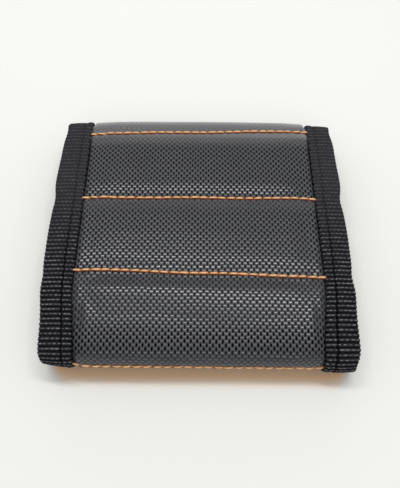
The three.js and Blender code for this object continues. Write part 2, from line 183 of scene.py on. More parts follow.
def wander(place, across):
    """The uneven lie of hand-fed cloth, from -1 to 1, over a few centimetres."""
    a = np.sin(place / (6.1 * MM) + 1.3) * np.sin(across / (9.7 * MM) + 0.4)
    b = np.sin(place / (3.9 * MM) + across / (7.3 * MM) + 2.1)
    c = np.sin(across / (4.3 * MM) - place / (11 * MM))
    return (a + 0.6 * b + 0.4 * c) / 2


# Form of the quilt

# The cloth's thickness, its edge inside the tapes, the field between the tapes and the half width
# over which the pockets are full
CLOTH = 0.5 * MM
CLOTH_EDGE = 42.3 * MM
FIELD = 35.4 * MM
PLUMP = 27 * MM

# How deep a row is sewn, how far and how high the cloth rises beside it, the slow crown of a
# pocket, the waver of its cloth and the marks of the stitches on the top and on the outer flap
ROW_SINK = 0.45 * MM
ROW_RISE = 5.0 * MM
ROW_LIFT = 0.8 * MM
SLOW_CROWN = 0.22 * MM
WAVER = 0.1 * MM
STITCH = 2.85 * MM
PUCKER = 0.12 * MM
FLAP_DENT = 0.35 * MM

# The puff at the back, the form of the front, and the least height of the cloth over the padding
BACK_PUFF = 0.2 * MM
FRONT_FALL = 9.5 * MM
FRONT_TUCK = 0.5 * MM
FRONT_SWELL = 0.3 * MM
LEAST_OVER_PAD = -0.12 * MM

# The lining, the tapes and the seats of the two patches
LINING_DIMPLE = 0.35 * MM
LINING_WAVER = 0.06 * MM
TAPE = 0.85 * MM
TAPE_SINK = 0.9 * MM
TAPE_LIP = 0.4 * MM
END_LEG = 9 * MM
LOOP_SEAT = 0.95 * MM
HOOK_SEAT = 1.2 * MM

# The band's left and right edges, in millimetres: how far out they lie, and how far they are
# drawn in at a stitch row, towards the front fold and towards the back fold
EDGE_OUT = (46.35, 45.6)
DRAWN_AT_ROW = (0.45, 0.6)
DRAWN_AT_FRONT = (1.75, 0.75)
DRAWN_AT_BACK = (0.5, 0.2)

# How far the left and right tapes sag into the folds, in millimetres, and how much deeper the
# left one's outer edge goes at the front
FRONT_SAG = (1.4, 0.25)
CORNER_SAG = 1.75
BACK_SAG = (0.85, 1.65)

# How far out the tapes' inner edges lie on the front fold and on the top, and where they turn
# from one to the other
BOUND_FRONT = 35.1 * MM
BOUND_TOP = 36.95 * MM
BOUND_TURN = (-18 * MM, 6 * MM)

# Where the front fold is drawn in most, and where the tapes' ribs wear away and come back
FRONT_HOLLOW = -28.5 * MM
WEAR = (TOP_ROWS[0] - 2 * MM, TOP_ROWS[1] + 6 * MM)
FRESH = (BACK_MIDDLE, INNER_START + 5 * MM)


def edge_of(place, side):
    """The band's outer edge: drawn in at the rows and towards both folds, a little wavy."""
    away = np.min([np.abs(place - row) for row in ROWS], axis=0)
    left = np.asarray(side) < 0
    drawn = np.where(left, *DRAWN_AT_ROW) * bell(away, 3.5 * MM)
    front = np.where(left, *DRAWN_AT_FRONT) * (1 - ease(place, -16 * MM, 10 * MM))
    back = np.where(left, *DRAWN_AT_BACK) * ease(place, 45 * MM, 60 * MM)
    wave = 0.1 * np.sin(place / (2.9 * MM) + 0.7) + 0.08 * np.sin(place / (5.3 * MM))
    return (np.where(left, *EDGE_OUT) - drawn - front - back + wave) * MM


def bound_of(place):
    """The tape's inner edge on the outer side, a little nearer the middle at the front."""
    return BOUND_FRONT + (BOUND_TOP - BOUND_FRONT) * ease(place, *BOUND_TURN)


def tape_sag(place, side, inset):
    """How far the tape is pulled down into the folds, most at the front's left corner. inset is
    the distance in from the edge."""
    corner = FRONT_SAG[0] + CORNER_SAG * np.clip(1 - inset / (8 * MM), 0, 1)
    front = bell(place - FRONT_HOLLOW, 7.3 * MM) * np.where(side < 0, corner, FRONT_SAG[1])
    back = ease(place, TOP_ROWS[2] - 3 * MM, BACK_MIDDLE) * np.where(side < 0, *BACK_SAG)
    inner = 1 - ease(place, BACK_MIDDLE, INNER_START)
    return -(front + back * inner) * MM


def row_place(row, across):
    """Where a stitch row runs."""
    shift, slant = ROW_LIE.get(row, (0, 0))
    return row + shift + slant * across / FIELD


def from_rows(place, across):
    """The distance to the nearest stitch row."""
    return np.min([np.abs(place - row_place(row, across)) for row in ROWS], axis=0)


def under_tape(place, side, start, end, reach):
    """1 where a tape covers the cloth, 0 in the open. It turns between start and end from the side
    tape's inner edge, and within reach of an end tape's."""
    bound = bound_of(place)
    outer = OUTER_TIP + END_LEG
    inner = INNER_TIP - END_LEG
    ends = np.maximum(1 - ease(place, outer - TAPE_LIP, outer + reach),
                      ease(place, inner - reach, inner + TAPE_LIP))
    return np.maximum(ease(side, bound + start, bound + end), ends)


def plumpness(across):
    """1 where the pockets are full, 0 beside the tapes."""
    return 1 - ease(np.abs(across), PLUMP, FIELD)


def pocket_height(place, across, away):
    """The padded pockets: they rise steeply from a row, then slowly to a low crown. Behind the last
    row the cloth is slacker, with one long puff."""
    plump = plumpness(across)
    rise = away / ROW_RISE
    lift = ROW_LIFT * (rise + 1 - np.sqrt((rise - 1) ** 2 + 0.04)) / 2
    slow = SLOW_CROWN * np.clip(away / (13.7 * MM), 0, 1)
    full = lift + slow * plump + WAVER * wander(place, across) * np.clip(away / (3 * MM), 0, 1)
    full = full - (ROW_LIFT - ROW_SINK) * (1 - plump) * np.clip(away / ROW_RISE, 0, 1)
    behind = ease(place, TOP_ROWS[2], BACK_MIDDLE - 2 * MM)
    return full * (1 - 0.45 * behind) + BACK_PUFF * behind * (1 - (across / (28 * MM)) ** 2)


def sewn_height(place, across):
    """The pockets with their rows sewn down and puckered at each stitch hole. The outer flap, out
    of sight, is pressed flat and dented by its rows."""
    away = from_rows(place, across)
    seen = ease(place, FRONT_ROW - 6 * MM, FRONT_ROW)
    full = pocket_height(place, across, away)
    hole = 0.5 + 0.5 * np.cos(2 * math.pi * across / STITCH)
    pucker = PUCKER * hole * bell(away, 0.9 * MM)
    height = full * (0.25 + 0.75 * seen) - ROW_SINK * (0.8 + 0.2 * seen) - pucker
    flap = 1 - seen
    dent = FLAP_DENT * bell(away, 1.5 * MM)
    return height * (1 - flap) + (np.minimum(height, -0.02 * MM) - dent) * flap


def draped_height(place, across):
    """The sewn cloth as it lies at the front: tucked in low on the fold, swollen to the left where
    the top begins and falling away ahead of that, but never into the padding."""
    height = sewn_height(place, across)
    height = height - FRONT_TUCK * bell(place - FRONT_HOLLOW, 3.2 * MM)
    leftward = 0.5 - 0.5 * np.clip(across / FIELD, -1, 1)
    swell = FRONT_SWELL * leftward * plumpness(across) * bell(place - 1.5 * MM, 3.5 * MM)
    fall = (0.065 + 0.02 * leftward) * np.clip(2 * MM - place, 0, FRONT_FALL)
    fall = fall * ease(place, FRONT_START, -28 * MM)
    height = height + swell - fall
    behind_fold = ease(place, -19 * MM, -16 * MM)
    beside_pad = ease(np.abs(across), 32.2 * MM, 33.6 * MM)
    return height + np.maximum(LEAST_OVER_PAD - height, 0) * behind_fold * (1 - beside_pad)


def shell_height(place, across):
    """How the outer cloth stands over the outer face. It is lowered under the tapes and under the
    loops."""
    side = np.abs(across)
    inner = ease(place, INNER_START - 2 * MM, INNER_START + 3 * MM)
    height = draped_height(place, across) * (1 - inner) - LOOP_SEAT * inner
    sink = under_tape(place, side, -1.2 * MM, -TAPE_LIP, 1.2 * MM)
    under = np.minimum(height - 0.5 * MM, -TAPE_SINK)
    under = under + tape_sag(place, across, edge_of(place, across) - side)
    return height * (1 - sink) + under * sink


def lining_height(place, across):
    """The lining's skin on the wrist side, dimpled at the rows and lowered under the hooks."""
    away = from_rows(place, across)
    side = np.abs(across)
    dimple = LINING_DIMPLE * bell(away, 1.8 * MM)
    soft = LINING_WAVER * wander(across, place)
    hooks = (ease(place, OUTER_TIP + END_LEG, OUTER_TIP + END_LEG + 1.4 * MM)
             - ease(place, TAIL_ROW - 6 * MM, TAIL_ROW - 3 * MM))
    height = -BAND + dimple + soft + HOOK_SEAT * hooks
    sink = under_tape(place, side, -0.6 * MM, TAPE_LIP, MM)
    under = TAPE_SINK - BAND + tape_sag(place, across, edge_of(place, across) - side)
    return height * (1 - sink) + under * sink


# The four stretches of the band. Each is listed with one hinge, and they meet under a stitch row
# or at the middle of a fold.

STRETCHES = [
    ("outer_flap", OUTER_TIP, FRONT_MIDDLE, "front_fold_lower", (-1, 1)),
    ("front", FRONT_MIDDLE, TOP_ROWS[1], "front_fold_upper", (1, 1)),
    ("back", TOP_ROWS[1], BACK_MIDDLE, "back_fold_upper", (1, -1)),
    ("inner_flap", BACK_MIDDLE, INNER_TIP, "back_fold_lower", (-1, -1)),
]
STANDS_FOR = {
    "outer_flap": ["outer_flap"],
    "front": ["front_fold", "top"],
    "back": ["back_fold"],
    "inner_flap": ["inner_flap"],
}
EDGES = ((-1, "left"), (1, "right"))
FLAP_ENDS = (("outer_flap", OUTER_TIP, 1), ("inner_flap", INNER_TIP, -1))


def bend(piece, hinge):
    """Works the piece's place into its mesh. It reads how far the hinge's fold reaches on each
    side, but does not use it, so the piece does not turn over the fold."""
    joint = HINGES[hinge]
    radius = FRONT_RADIUS if hinge.startswith("front") else BACK_RADIUS
    flat_side = radius / math.sqrt(2)
    fold_side = flat_side - (BAND + 0.3 * MM) / math.sqrt(2)
    before, after = flat_side, fold_side
    if joint["parent"].endswith("fold"):
        before, after = after, before
    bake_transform(piece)


# Materials


def linear(code):
    """An sRGB hex colour as linear red, green, blue and alpha."""
    parts = [int(code[at:at + 2], 16) / 255 for at in (1, 3, 5)]
    return (*[p / 12.92 if p <= 0.04045 else ((p + 0.055) / 1.055) ** 2.4 for p in parts], 1.0)


def add(tree, kind, inputs=None, **settings):
    """A new node with its settings. Each input is set to a value, or linked from a socket or from
    the first live output of a node. In a mix of two colours they are inputs 6 and 7, and input 0
    is the share of the second."""
    node = tree.nodes.new(kind)
    for name, value in settings.items():
        setattr(node, name, value)
    for key, value in (inputs or {}).items():
        if isinstance(value, bpy.types.Node):
            value = next(socket for socket in value.outputs if socket.enabled)
        if isinstance(value, bpy.types.NodeSocket):
            tree.links.new(value, node.inputs[key])
        else:
            node.inputs[key].default_value = value
    return node


def new_material(name):
    """An empty material and its node tree."""
    material = bpy.data.materials.new(name)
    material.use_nodes = True
    material.node_tree.nodes.clear()
    return material, material.node_tree


def finish_material(material, surface):
    """The material, with its tree ended in one shader that has the given inputs."""
    shader = add(material.node_tree, "ShaderNodeBsdfPrincipled", surface)
    add(material.node_tree, "ShaderNodeOutputMaterial", {"Surface": shader})
    return material


def set_stops(node, stops):
    """Gives a colour ramp its stops, each a position and a colour, from low to high."""
    marks = node.color_ramp.elements
    for at, (position, colour) in enumerate(stops):
        mark = marks[at] if at < 2 else marks.new(position)
        mark.position = position
        mark.color = colour


def yarn_waves(tree, spot, across, along):
    """Waves across and along a cloth, in x and y, from -1 to 1. They change sign at each pitch."""
    turn = add(tree, "ShaderNodeVectorMath", {
        0: spot, 1: (math.pi / across, math.pi / along, 0),
    }, operation="MULTIPLY")
    return add(tree, "ShaderNodeVectorMath", {0: turn}, operation="SINE")


# Pitches of the woven cloth, the webbing and the mesh, and how far a seam lies inside its tape
WARP_PITCH = 0.885 * MM
WEFT_PITCH = 1.03 * MM
RIB = 1.4 * MM
TAPE_YARN = 0.65 * MM
MESH_PITCH = (1.5 * MM, 2.1 * MM)
SEAM_IN = 2.4 * MM

# How tight the weave is drawn at places along the band, its pits shut, and its painted sheen,
# a painted paleness of its yarns round the back fold and just ahead of the back row
PULL_AND_PAINTED_SHEEN = [
    (FRONT_ROW + 1.8 * MM, 0.92, 0.0), (FRONT_ROW + 5.5 * MM, 0.0, 0.0),
    (FRONT_ROW + 9 * MM, 0.0, 0.0), (FRONT_ROW + 15 * MM, 0.3, 0.0),
    (TOP_ROWS[0] - 0.3 * MM, 0.3, 0.0), (TOP_ROWS[0] + 0.3 * MM, 0.2, 0.0),
    (TOP_ROWS[1] - 7 * MM, 0.15, 0.0), (TOP_ROWS[1] - 0.3 * MM, 0.5, 0.1),
    (TOP_ROWS[1] + 0.3 * MM, 0.1, 0.0),
    (TOP_ROWS[2] - 8 * MM, 0.15, 0.0), (TOP_ROWS[2] - 3.5 * MM, 0.4, 0.2),
    (TOP_ROWS[2] - 0.8 * MM, 0.9, 1.0), (TOP_ROWS[2] + 0.5 * MM, 0.7, 0.5),
    (BACK_START + 1 * MM, 0.65, 0.75), (BACK_START + 5 * MM, 0.6, 0.7),
    (BACK_MIDDLE + 2 * MM, 0.0, 0.0),
]


def drifting_spot(tree, uv):
    """The place on the cloth, shifted a little because its yarns don't run quite straight."""
    drift = add(tree, "ShaderNodeTexNoise", {
        "Vector": uv, "Scale": 1 / (7 * MM), "Detail": 2.0,
    }, noise_dimensions="2D")
    centred = add(tree, "ShaderNodeVectorMath", {
        0: drift.outputs["Color"], 1: (0.5, 0.5, 0.5),
    }, operation="SUBTRACT")
    shift = add(tree, "ShaderNodeVectorMath", {0: centred, "Scale": 0.7 * MM}, operation="SCALE")
    return add(tree, "ShaderNodeVectorMath", {0: uv, 1: shift}, operation="ADD")


def weave_form(tree, spot):
    """The crowns of the weft floats, and the lens-shaped pits beside them, each from 0 to 1."""
    wave = yarn_waves(tree, spot, WARP_PITCH, WEFT_PITCH)
    size = add(tree, "ShaderNodeVectorMath", {0: wave}, operation="ABSOLUTE")
    axes = add(tree, "ShaderNodeSeparateXYZ", {0: wave})
    sizes = add(tree, "ShaderNodeSeparateXYZ", {0: size})
    signs = add(tree, "ShaderNodeVectorMath", {0: wave}, operation="SIGN")
    ways = add(tree, "ShaderNodeSeparateXYZ", {0: signs})
    under = add(tree, "ShaderNodeMath", {
        0: axes.outputs["Y"], 1: ways.outputs["X"],
    }, operation="MULTIPLY")
    over = add(tree, "ShaderNodeMath", {
        0: axes.outputs["X"], 1: ways.outputs["Y"],
    }, operation="MULTIPLY")
    reach = add(tree, "ShaderNodeMapRange", {
        "Value": under, "From Min": 0.55, "From Max": -1.0, "To Min": -1.0, "To Max": -0.36,
    })
    lens = add(tree, "ShaderNodeMath", {0: sizes.outputs["X"], 1: reach}, operation="ADD")
    pit = add(tree, "ShaderNodeMapRange", {
        "Value": lens, "From Max": 0.3,
    }, interpolation_type="SMOOTHSTEP")
    wide = add(tree, "ShaderNodeMapRange", {
        "Value": over, "From Min": -0.4, "From Max": 0.4,
    }, interpolation_type="SMOOTHSTEP")
    low = add(tree, "ShaderNodeMath", {0: sizes.outputs["Y"], 1: 2.2}, operation="POWER")
    return add(tree, "ShaderNodeMath", {0: wide, 1: low}, operation="MULTIPLY"), pit


def pull_and_painted_sheen(tree, place):
    """How tight the weave is drawn at a place, shut in x, and its painted sheen, paler in y."""
    span = add(tree, "ShaderNodeMapRange", {
        "Value": place.outputs["Y"], "From Min": FRONT_ROW, "From Max": INNER_START,
    })
    pull_and_sheen_ramp = add(tree, "ShaderNodeValToRGB", {0: span})
    pull_and_sheen_ramp.color_ramp.interpolation = "EASE"
    set_stops(pull_and_sheen_ramp, [((at - FRONT_ROW) / (INNER_START - FRONT_ROW), (shut, pale, 0, 1))
                       for at, shut, pale in PULL_AND_PAINTED_SHEEN])
    return add(tree, "ShaderNodeSeparateXYZ", {0: pull_and_sheen_ramp})


def clear_of_tape(tree, place):
    """0 under the side tapes, 1 where the cloth is open to the light."""
    side = add(tree, "ShaderNodeMath", {0: place.outputs["X"]}, operation="ABSOLUTE")
    bound = add(tree, "ShaderNodeMapRange", {
        "Value": place.outputs["Y"], "From Min": BOUND_TURN[0], "From Max": BOUND_TURN[1],
        "To Min": BOUND_FRONT, "To Max": BOUND_TOP,
    }, interpolation_type="SMOOTHSTEP")
    inside = add(tree, "ShaderNodeMath", {0: bound, 1: side}, operation="SUBTRACT")
    return add(tree, "ShaderNodeMapRange", {"Value": inside, "From Max": 0.6 * MM})


def weave_colour(tree, spot, float_up, depth):
    """Slubbed grey yarns, paler on the floats, with near-black pits."""
    long_grain = add(tree, "ShaderNodeVectorMath", {
        0: spot, 1: (1 / (14 * MM), 1 / (0.5 * MM), 0),
    }, operation="MULTIPLY")
    slub = add(tree, "ShaderNodeTexNoise", {
        "Vector": long_grain, "Scale": 1.0, "Detail": 3.0,
    }, noise_dimensions="2D")
    ground = add(tree, "ShaderNodeMix", {
        0: slub, 6: linear("#26272a"), 7: linear("#47484d"),
    }, data_type="RGBA")
    crown = add(tree, "ShaderNodeMix", {
        0: slub, 6: linear("#303134"), 7: linear("#525358"),
    }, data_type="RGBA")
    woven = add(tree, "ShaderNodeMix", {0: float_up, 6: ground, 7: crown}, data_type="RGBA")
    return add(tree, "ShaderNodeMix", {
        0: depth, 6: woven, 7: linear("#070708"),
    }, data_type="RGBA")


def make_woven_nylon():
    """Coarse plain-woven nylon: satin grey weft floats, each a short bright dash across the band,
    with dark lens-shaped pits beside them where the warp goes under. Drawn smoother where it is
    stretched tight round the back fold, and painted paler there and just ahead of the back row, a
    painted sheen, with a bloom when seen along the surface."""
    material, tree = new_material("woven_nylon")
    uv = add(tree, "ShaderNodeUVMap", uv_map="band")
    spot = drifting_spot(tree, uv)
    float_up, pit = weave_form(tree, spot)
    place = add(tree, "ShaderNodeSeparateXYZ", {0: uv})
    # pull carries how tight the weave is drawn in x and its painted sheen in y
    pull = pull_and_painted_sheen(tree, place)
    slack = add(tree, "ShaderNodeMath", {0: 1.0, 1: pull.outputs["X"]}, operation="SUBTRACT")
    depth = add(tree, "ShaderNodeMath", {0: pit, 1: slack}, operation="MULTIPLY")
    open_to_light = clear_of_tape(tree, place)
    pitted = weave_colour(tree, spot, float_up, depth)
    # Painted sheen: the yarns are lightened towards a pale grey by the table's paleness
    smooth = add(tree, "ShaderNodeMix", {
        0: pull.outputs["Y"], 6: pitted, 7: linear("#58585a"),
    }, data_type="RGBA")
    # Painted shade: the cloth goes near-black in the crease where it runs under the tapes
    colour = add(tree, "ShaderNodeMix", {
        0: open_to_light, 6: linear("#060607"), 7: smooth,
    }, data_type="RGBA")
    yarn = add(tree, "ShaderNodeMath", {0: float_up, 1: open_to_light}, operation="MULTIPLY")
    gloss = add(tree, "ShaderNodeMapRange", {"Value": yarn, "To Min": 0.5, "To Max": 0.18})
    lustre = add(tree, "ShaderNodeMapRange", {"Value": yarn, "To Min": 0.3, "To Max": 1.0})
    raised = add(tree, "ShaderNodeMath", {0: 1.0, 1: depth}, operation="SUBTRACT")
    shine = add(tree, "ShaderNodeMath", {0: lustre, 1: raised}, operation="MULTIPLY")
    relief = add(tree, "ShaderNodeMath", {0: float_up, 1: pit}, operation="SUBTRACT")
    bump = add(tree, "ShaderNodeBump", {"Height": relief, "Strength": slack, "Distance": 0.03 * MM})
    return finish_material(material, {
        "Base Color": colour, "Roughness": gloss, "Normal": bump, "Specular IOR Level": shine,
        "Sheen Weight": pull.outputs["Y"], "Sheen Roughness": 0.62,
    })


def lifted_yarns(tree, uv, axes):
    """How far the tape's yarns come up over its ribs: every other one, and unevenly."""
    checker = add(tree, "ShaderNodeMath", {
        0: axes.outputs["X"], 1: axes.outputs["Y"],
    }, operation="MULTIPLY")
    fray = add(tree, "ShaderNodeTexNoise", {
        "Vector": uv, "Scale": 1 / (1.1 * MM), "Detail": 4.0, "Roughness": 0.7,
    }, noise_dimensions="2D")
    uneven = add(tree, "ShaderNodeMath", {0: fray, 1: 2.4, 2: -1.15}, operation="MULTIPLY_ADD")
    return add(tree, "ShaderNodeMath", {0: checker, 1: 0.4, 2: uneven}, operation="MULTIPLY_ADD")


def wear_along(tree, place):
    """How far the ribs are worn at a place: more and more over the top, up to the back fold."""
    before_fold = add(tree, "ShaderNodeMapRange", {
        "Value": place.outputs["Y"], "From Min": FRESH[1], "From Max": FRESH[0],
    })
    over_top = add(tree, "ShaderNodeMapRange", {
        "Value": place.outputs["Y"], "From Min": WEAR[0], "From Max": WEAR[1], "To Max": 0.7,
    })
    return add(tree, "ShaderNodeMath", {0: over_top, 1: before_fold}, operation="MULTIPLY")


def rib_dashes(tree, uv, crown, raised, kept):
    """The bright dashes along the crowns of the ribs, a painted highlight, patchy and worn away in
    places.
    """
    ridge = add(tree, "ShaderNodeMath", {0: crown, 1: 18.0}, operation="POWER")
    crest = add(tree, "ShaderNodeMath", {0: raised, 1: ridge}, operation="MULTIPLY")
    patchy = add(tree, "ShaderNodeTexNoise", {
        "Vector": uv, "Scale": 1 / (2.5 * MM), "Detail": 3.0, "Roughness": 0.6,
    }, noise_dimensions="2D")
    faded = add(tree, "ShaderNodeMapRange", {
        "Value": patchy, "From Min": 0.36, "From Max": 0.66, "To Min": 0.4,
    })
    bright = add(tree, "ShaderNodeMath", {0: crest, 1: faded}, operation="MULTIPLY")
    return add(tree, "ShaderNodeMath", {0: bright, 1: kept}, operation="MULTIPLY")


def make_webbing():
    """Ribbed polyester webbing: near-black ribs, each crowned with a row of short satin dashes
    where its yarns come up, painted pale as a painted highlight, and creases between the ribs
    painted darker, a painted shade."""
    material, tree = new_material("ribbed_webbing")
    uv = add(tree, "ShaderNodeUVMap", uv_map="tape")
    axes = add(tree, "ShaderNodeSeparateXYZ", {0: yarn_waves(tree, uv, TAPE_YARN, RIB)})
    crown = add(tree, "ShaderNodeMath", {0: axes.outputs["Y"]}, operation="ABSOLUTE")
    lifted = lifted_yarns(tree, uv, axes)
    rubbed = add(tree, "ShaderNodeTexNoise", {
        "Vector": uv, "Scale": 1 / (4 * MM), "Detail": 2.0,
    }, noise_dimensions="2D")
    flattened = add(tree, "ShaderNodeMapRange", {
        "Value": rubbed, "From Min": 0.4, "From Max": 0.65, "To Max": 0.6,
    })
    place = add(tree, "ShaderNodeSeparateXYZ", {0: uv})
    back = wear_along(tree, place)
    matted = add(tree, "ShaderNodeMath", {0: flattened, 1: back}, operation="MAXIMUM")
    kept = add(tree, "ShaderNodeMath", {0: 1.0, 1: back}, operation="SUBTRACT")
    raised = add(tree, "ShaderNodeMath", {0: lifted, 1: 0.45}, operation="ADD", use_clamp=True)
    dash = rib_dashes(tree, uv, crown, raised, kept)
    at_seam = add(tree, "ShaderNodeMath", {
        0: place.outputs["X"], 1: TAPE + SEAM_IN, 2: 0.3 * MM,
    }, operation="COMPARE")
    filled = add(tree, "ShaderNodeMath", {0: crown, 1: matted}, operation="MAXIMUM")
    # Painted shade and highlight: the creases are painted darker than the crowns, the dashes pale
    # grey
    body = add(tree, "ShaderNodeMix", {
        0: filled, 6: linear("#070708"), 7: linear("#29282c"),
    }, data_type="RGBA")
    worn = add(tree, "ShaderNodeMix", {0: back, 6: body, 7: linear("#363539")}, data_type="RGBA")
    ribs = add(tree, "ShaderNodeMix", {0: dash, 6: worn, 7: linear("#908f94")}, data_type="RGBA")
    pressed = add(tree, "ShaderNodeMath", {0: at_seam, 1: kept}, operation="MULTIPLY")
    colour = add(tree, "ShaderNodeMix", {
        0: pressed, 6: ribs, 7: linear("#040405"),
    }, data_type="RGBA")
    gloss = add(tree, "ShaderNodeMapRange", {"Value": dash, "To Min": 0.8, "To Max": 0.35})
    shine = add(tree, "ShaderNodeMapRange", {"Value": dash, "To Min": 0.08, "To Max": 0.6})
    bump = add(tree, "ShaderNodeBump", {"Height": raised, "Strength": 0.8, "Distance": 0.1 * MM})
    return finish_material(material, {
        "Base Color": colour, "Roughness": gloss, "Normal": bump, "Specular IOR Level": shine,
    })


def make_spacer_mesh():
    """Warp-knitted polyester spacer mesh: matt black cloth pierced by staggered oval holes."""
    material, tree = new_material("spacer_mesh")
    uv = add(tree, "ShaderNodeUVMap", uv_map="band")
    axes = add(tree, "ShaderNodeSeparateXYZ", {0: yarn_waves(tree, uv, *MESH_PITCH)})
    checker = add(tree, "ShaderNodeMath", {
        0: axes.outputs["X"], 1: axes.outputs["Y"],
    }, operation="MULTIPLY")
    cloth = add(tree, "ShaderNodeMapRange", {
        "Value": checker, "From Min": 0.72, "From Max": 0.4,
    }, interpolation_type="SMOOTHSTEP")
    fuzz = add(tree, "ShaderNodeTexNoise", {
        "Vector": uv, "Scale": 1 / (0.5 * MM), "Detail": 3.0,
    }, noise_dimensions="2D")
    yarn = add(tree, "ShaderNodeValToRGB", {0: fuzz})
    set_stops(yarn, [(0.3, linear("#1c1c1f")), (0.75, linear("#38383c"))])
    colour = add(tree, "ShaderNodeMix", {0: cloth, 6: linear("#050506"), 7: yarn}, data_type="RGBA")
    rough = add(tree, "ShaderNodeMapRange", {"Value": fuzz, "To Min": 0.75, "To Max": 0.95})
    bump = add(tree, "ShaderNodeBump", {"Height": cloth, "Strength": 1.0, "Distance": 0.3 * MM})
    return finish_material(material, {
        "Base Color": colour, "Roughness": rough, "Normal": bump, "Sheen Weight": 0.15,
    })


def make_grained(name, dark, pale, grain, rough, relief, sheen=0.0):
    """A plain material with a short mottled grain between two close tones, uneven gloss and fine
    relief. The grain is the size of its cells or fibres, drawn as coarse as it needs to show."""
    material, tree = new_material(name)
    place = add(tree, "ShaderNodeTexCoord")
    mottle = add(tree, "ShaderNodeTexNoise", {
        "Vector": place.outputs["Object"], "Scale": 1 / grain, "Detail": 4.0, "Roughness": 0.65,
    })
    tone = add(tree, "ShaderNodeValToRGB", {0: mottle})
    set_stops(tone, [(0.32, linear(dark)), (0.7, linear(pale))])
    gloss = add(tree, "ShaderNodeMapRange", {
        "Value": mottle, "From Min": 0.3, "From Max": 0.7,
        "To Min": min(1.0, rough + 0.12), "To Max": rough - 0.08,
    })
    bump = add(tree, "ShaderNodeBump", {"Height": mottle, "Strength": 1.0, "Distance": relief})
    return finish_material(material, {
        "Base Color": tone, "Roughness": gloss, "Normal": bump, "Sheen Weight": sheen,
    })


def make_thread(name, painted_flank_shade, dark, pale):
    """Twisted polyester thread, satin along its crown. It is painted pale where it faces up and
    darker down its flanks, a painted highlight and a painted shade.
    """
    material, tree = new_material(name)
    crown = add(tree, "ShaderNodeAttribute", attribute_name="crown")
    place = add(tree, "ShaderNodeTexCoord")
    mottle = add(tree, "ShaderNodeTexNoise", {
        "Vector": place.outputs["Object"], "Scale": 1 / (0.55 * MM), "Detail": 3.0,
    })
    top = add(tree, "ShaderNodeMapRange", {
        "Value": crown.outputs["Fac"], "From Min": 0.65, "From Max": 0.95,
    })
    strand = add(tree, "ShaderNodeMix", {
        0: mottle, 6: linear(dark), 7: linear(pale),
    }, data_type="RGBA")
    colour = add(tree, "ShaderNodeMix", {0: top, 6: linear(painted_flank_shade), 7: strand}, data_type="RGBA")
    gloss = add(tree, "ShaderNodeMapRange", {
        "Value": mottle, "From Min": 0.3, "From Max": 0.7, "To Min": 0.55, "To Max": 0.35,
    })
    bump = add(tree, "ShaderNodeBump", {"Height": mottle, "Strength": 0.6, "Distance": 0.05 * MM})
    return finish_material(material, {
        "Base Color": colour, "Roughness": gloss, "Normal": bump, "Specular IOR Level": 0.3,
    })


def make_nickel_plate():
    """Nickel-plated magnet: bright warm metal with a faint tumbled scuff that breaks its gloss."""
    material, tree = new_material("nickel_plate")
    place = add(tree, "ShaderNodeTexCoord")
    scuff = add(tree, "ShaderNodeTexNoise", {
        "Vector": place.outputs["Object"], "Scale": 1 / (0.9 * MM), "Detail": 6.0,
    })
    gloss = add(tree, "ShaderNodeMapRange", {
        "Value": scuff, "From Min": 0.3, "From Max": 0.7, "To Min": 0.16, "To Max": 0.34,
    })
    tone = add(tree, "ShaderNodeMix", {
        0: scuff, 6: linear("#b3b1ac"), 7: linear("#cfccc6"),
    }, data_type="RGBA")
    return finish_material(material, {"Base Color": tone, "Roughness": gloss, "Metallic": 1.0})


def make_table():
    """Plain matt white table, with a painted warm shade close under the band's front where light
    creeps in.
    """
    material, tree = new_material("matt_table")
    shade = add(tree, "ShaderNodeAmbientOcclusion", {"Distance": 8 * MM}, samples=8)
    shut = add(tree, "ShaderNodeMapRange", {
        "Value": shade.outputs["AO"], "From Min": 0.86, "From Max": 0.3,
    })
    place = add(tree, "ShaderNodeTexCoord")
    axes = add(tree, "ShaderNodeSeparateXYZ", {0: place.outputs["Object"]})
    side = add(tree, "ShaderNodeMath", {0: axes.outputs["X"]}, operation="ABSOLUTE")
    front = add(tree, "ShaderNodeMapRange", {
        "Value": axes.outputs["Y"], "From Min": -34 * MM, "From Max": -40 * MM,
    })
    between = add(tree, "ShaderNodeMapRange", {
        "Value": side, "From Min": 46 * MM, "From Max": 38 * MM,
    })
    near = add(tree, "ShaderNodeMath", {0: front, 1: between}, operation="MULTIPLY")
    # Painted shade: a warm tint where the table is occluded close under the band's front
    painted_warm_shade = add(tree, "ShaderNodeMath", {0: shut, 1: near}, operation="MULTIPLY")
    tint = add(tree, "ShaderNodeValToRGB", {0: painted_warm_shade})
    set_stops(tint, [(0.1, linear("#f9f9f5")), (0.45, linear("#ffce98")), (1.0, linear("#f4d8c0"))])
    return finish_material(material, {
        "Base Color": tint, "Roughness": 0.9, "Specular IOR Level": 0.1,
    })


SHELL_CLOTH = make_woven_nylon()
LINING_CLOTH = make_spacer_mesh()
WEBBING = make_webbing()
ORANGE_THREAD = make_thread("orange_thread", "#844216", "#f79a40", "#ffeabb")
BLACK_THREAD = make_thread("black_thread", "#030304", "#0c0b0d", "#1c1b1e")
# Closed-cell foam, cut from sheet: dull, with fine open cells at its cut faces
FOAM = make_grained("closed_cell_foam", "#232326", "#37373b", 0.6 * MM, 0.9, 0.08 * MM)
# Moulded nylon hooks: almost smooth, with a slight gloss
HOOKS = make_grained("moulded_hooks", "#131315", "#222225", 1.2 * MM, 0.45, 0.02 * MM)
# Knitted nylon loops: a soft pile that blooms when seen along the surface
LOOPS = make_grained("knitted_loops", "#1a1a1d", "#34343a", 0.8 * MM, 0.85, 0.05 * MM, 0.3)
NICKEL = make_nickel_plate()


# Cloth


def put_in_scene(name, data):
    thing = bpy.data.objects.new(name, data)
    bpy.context.scene.collection.objects.link(thing)
    return thing


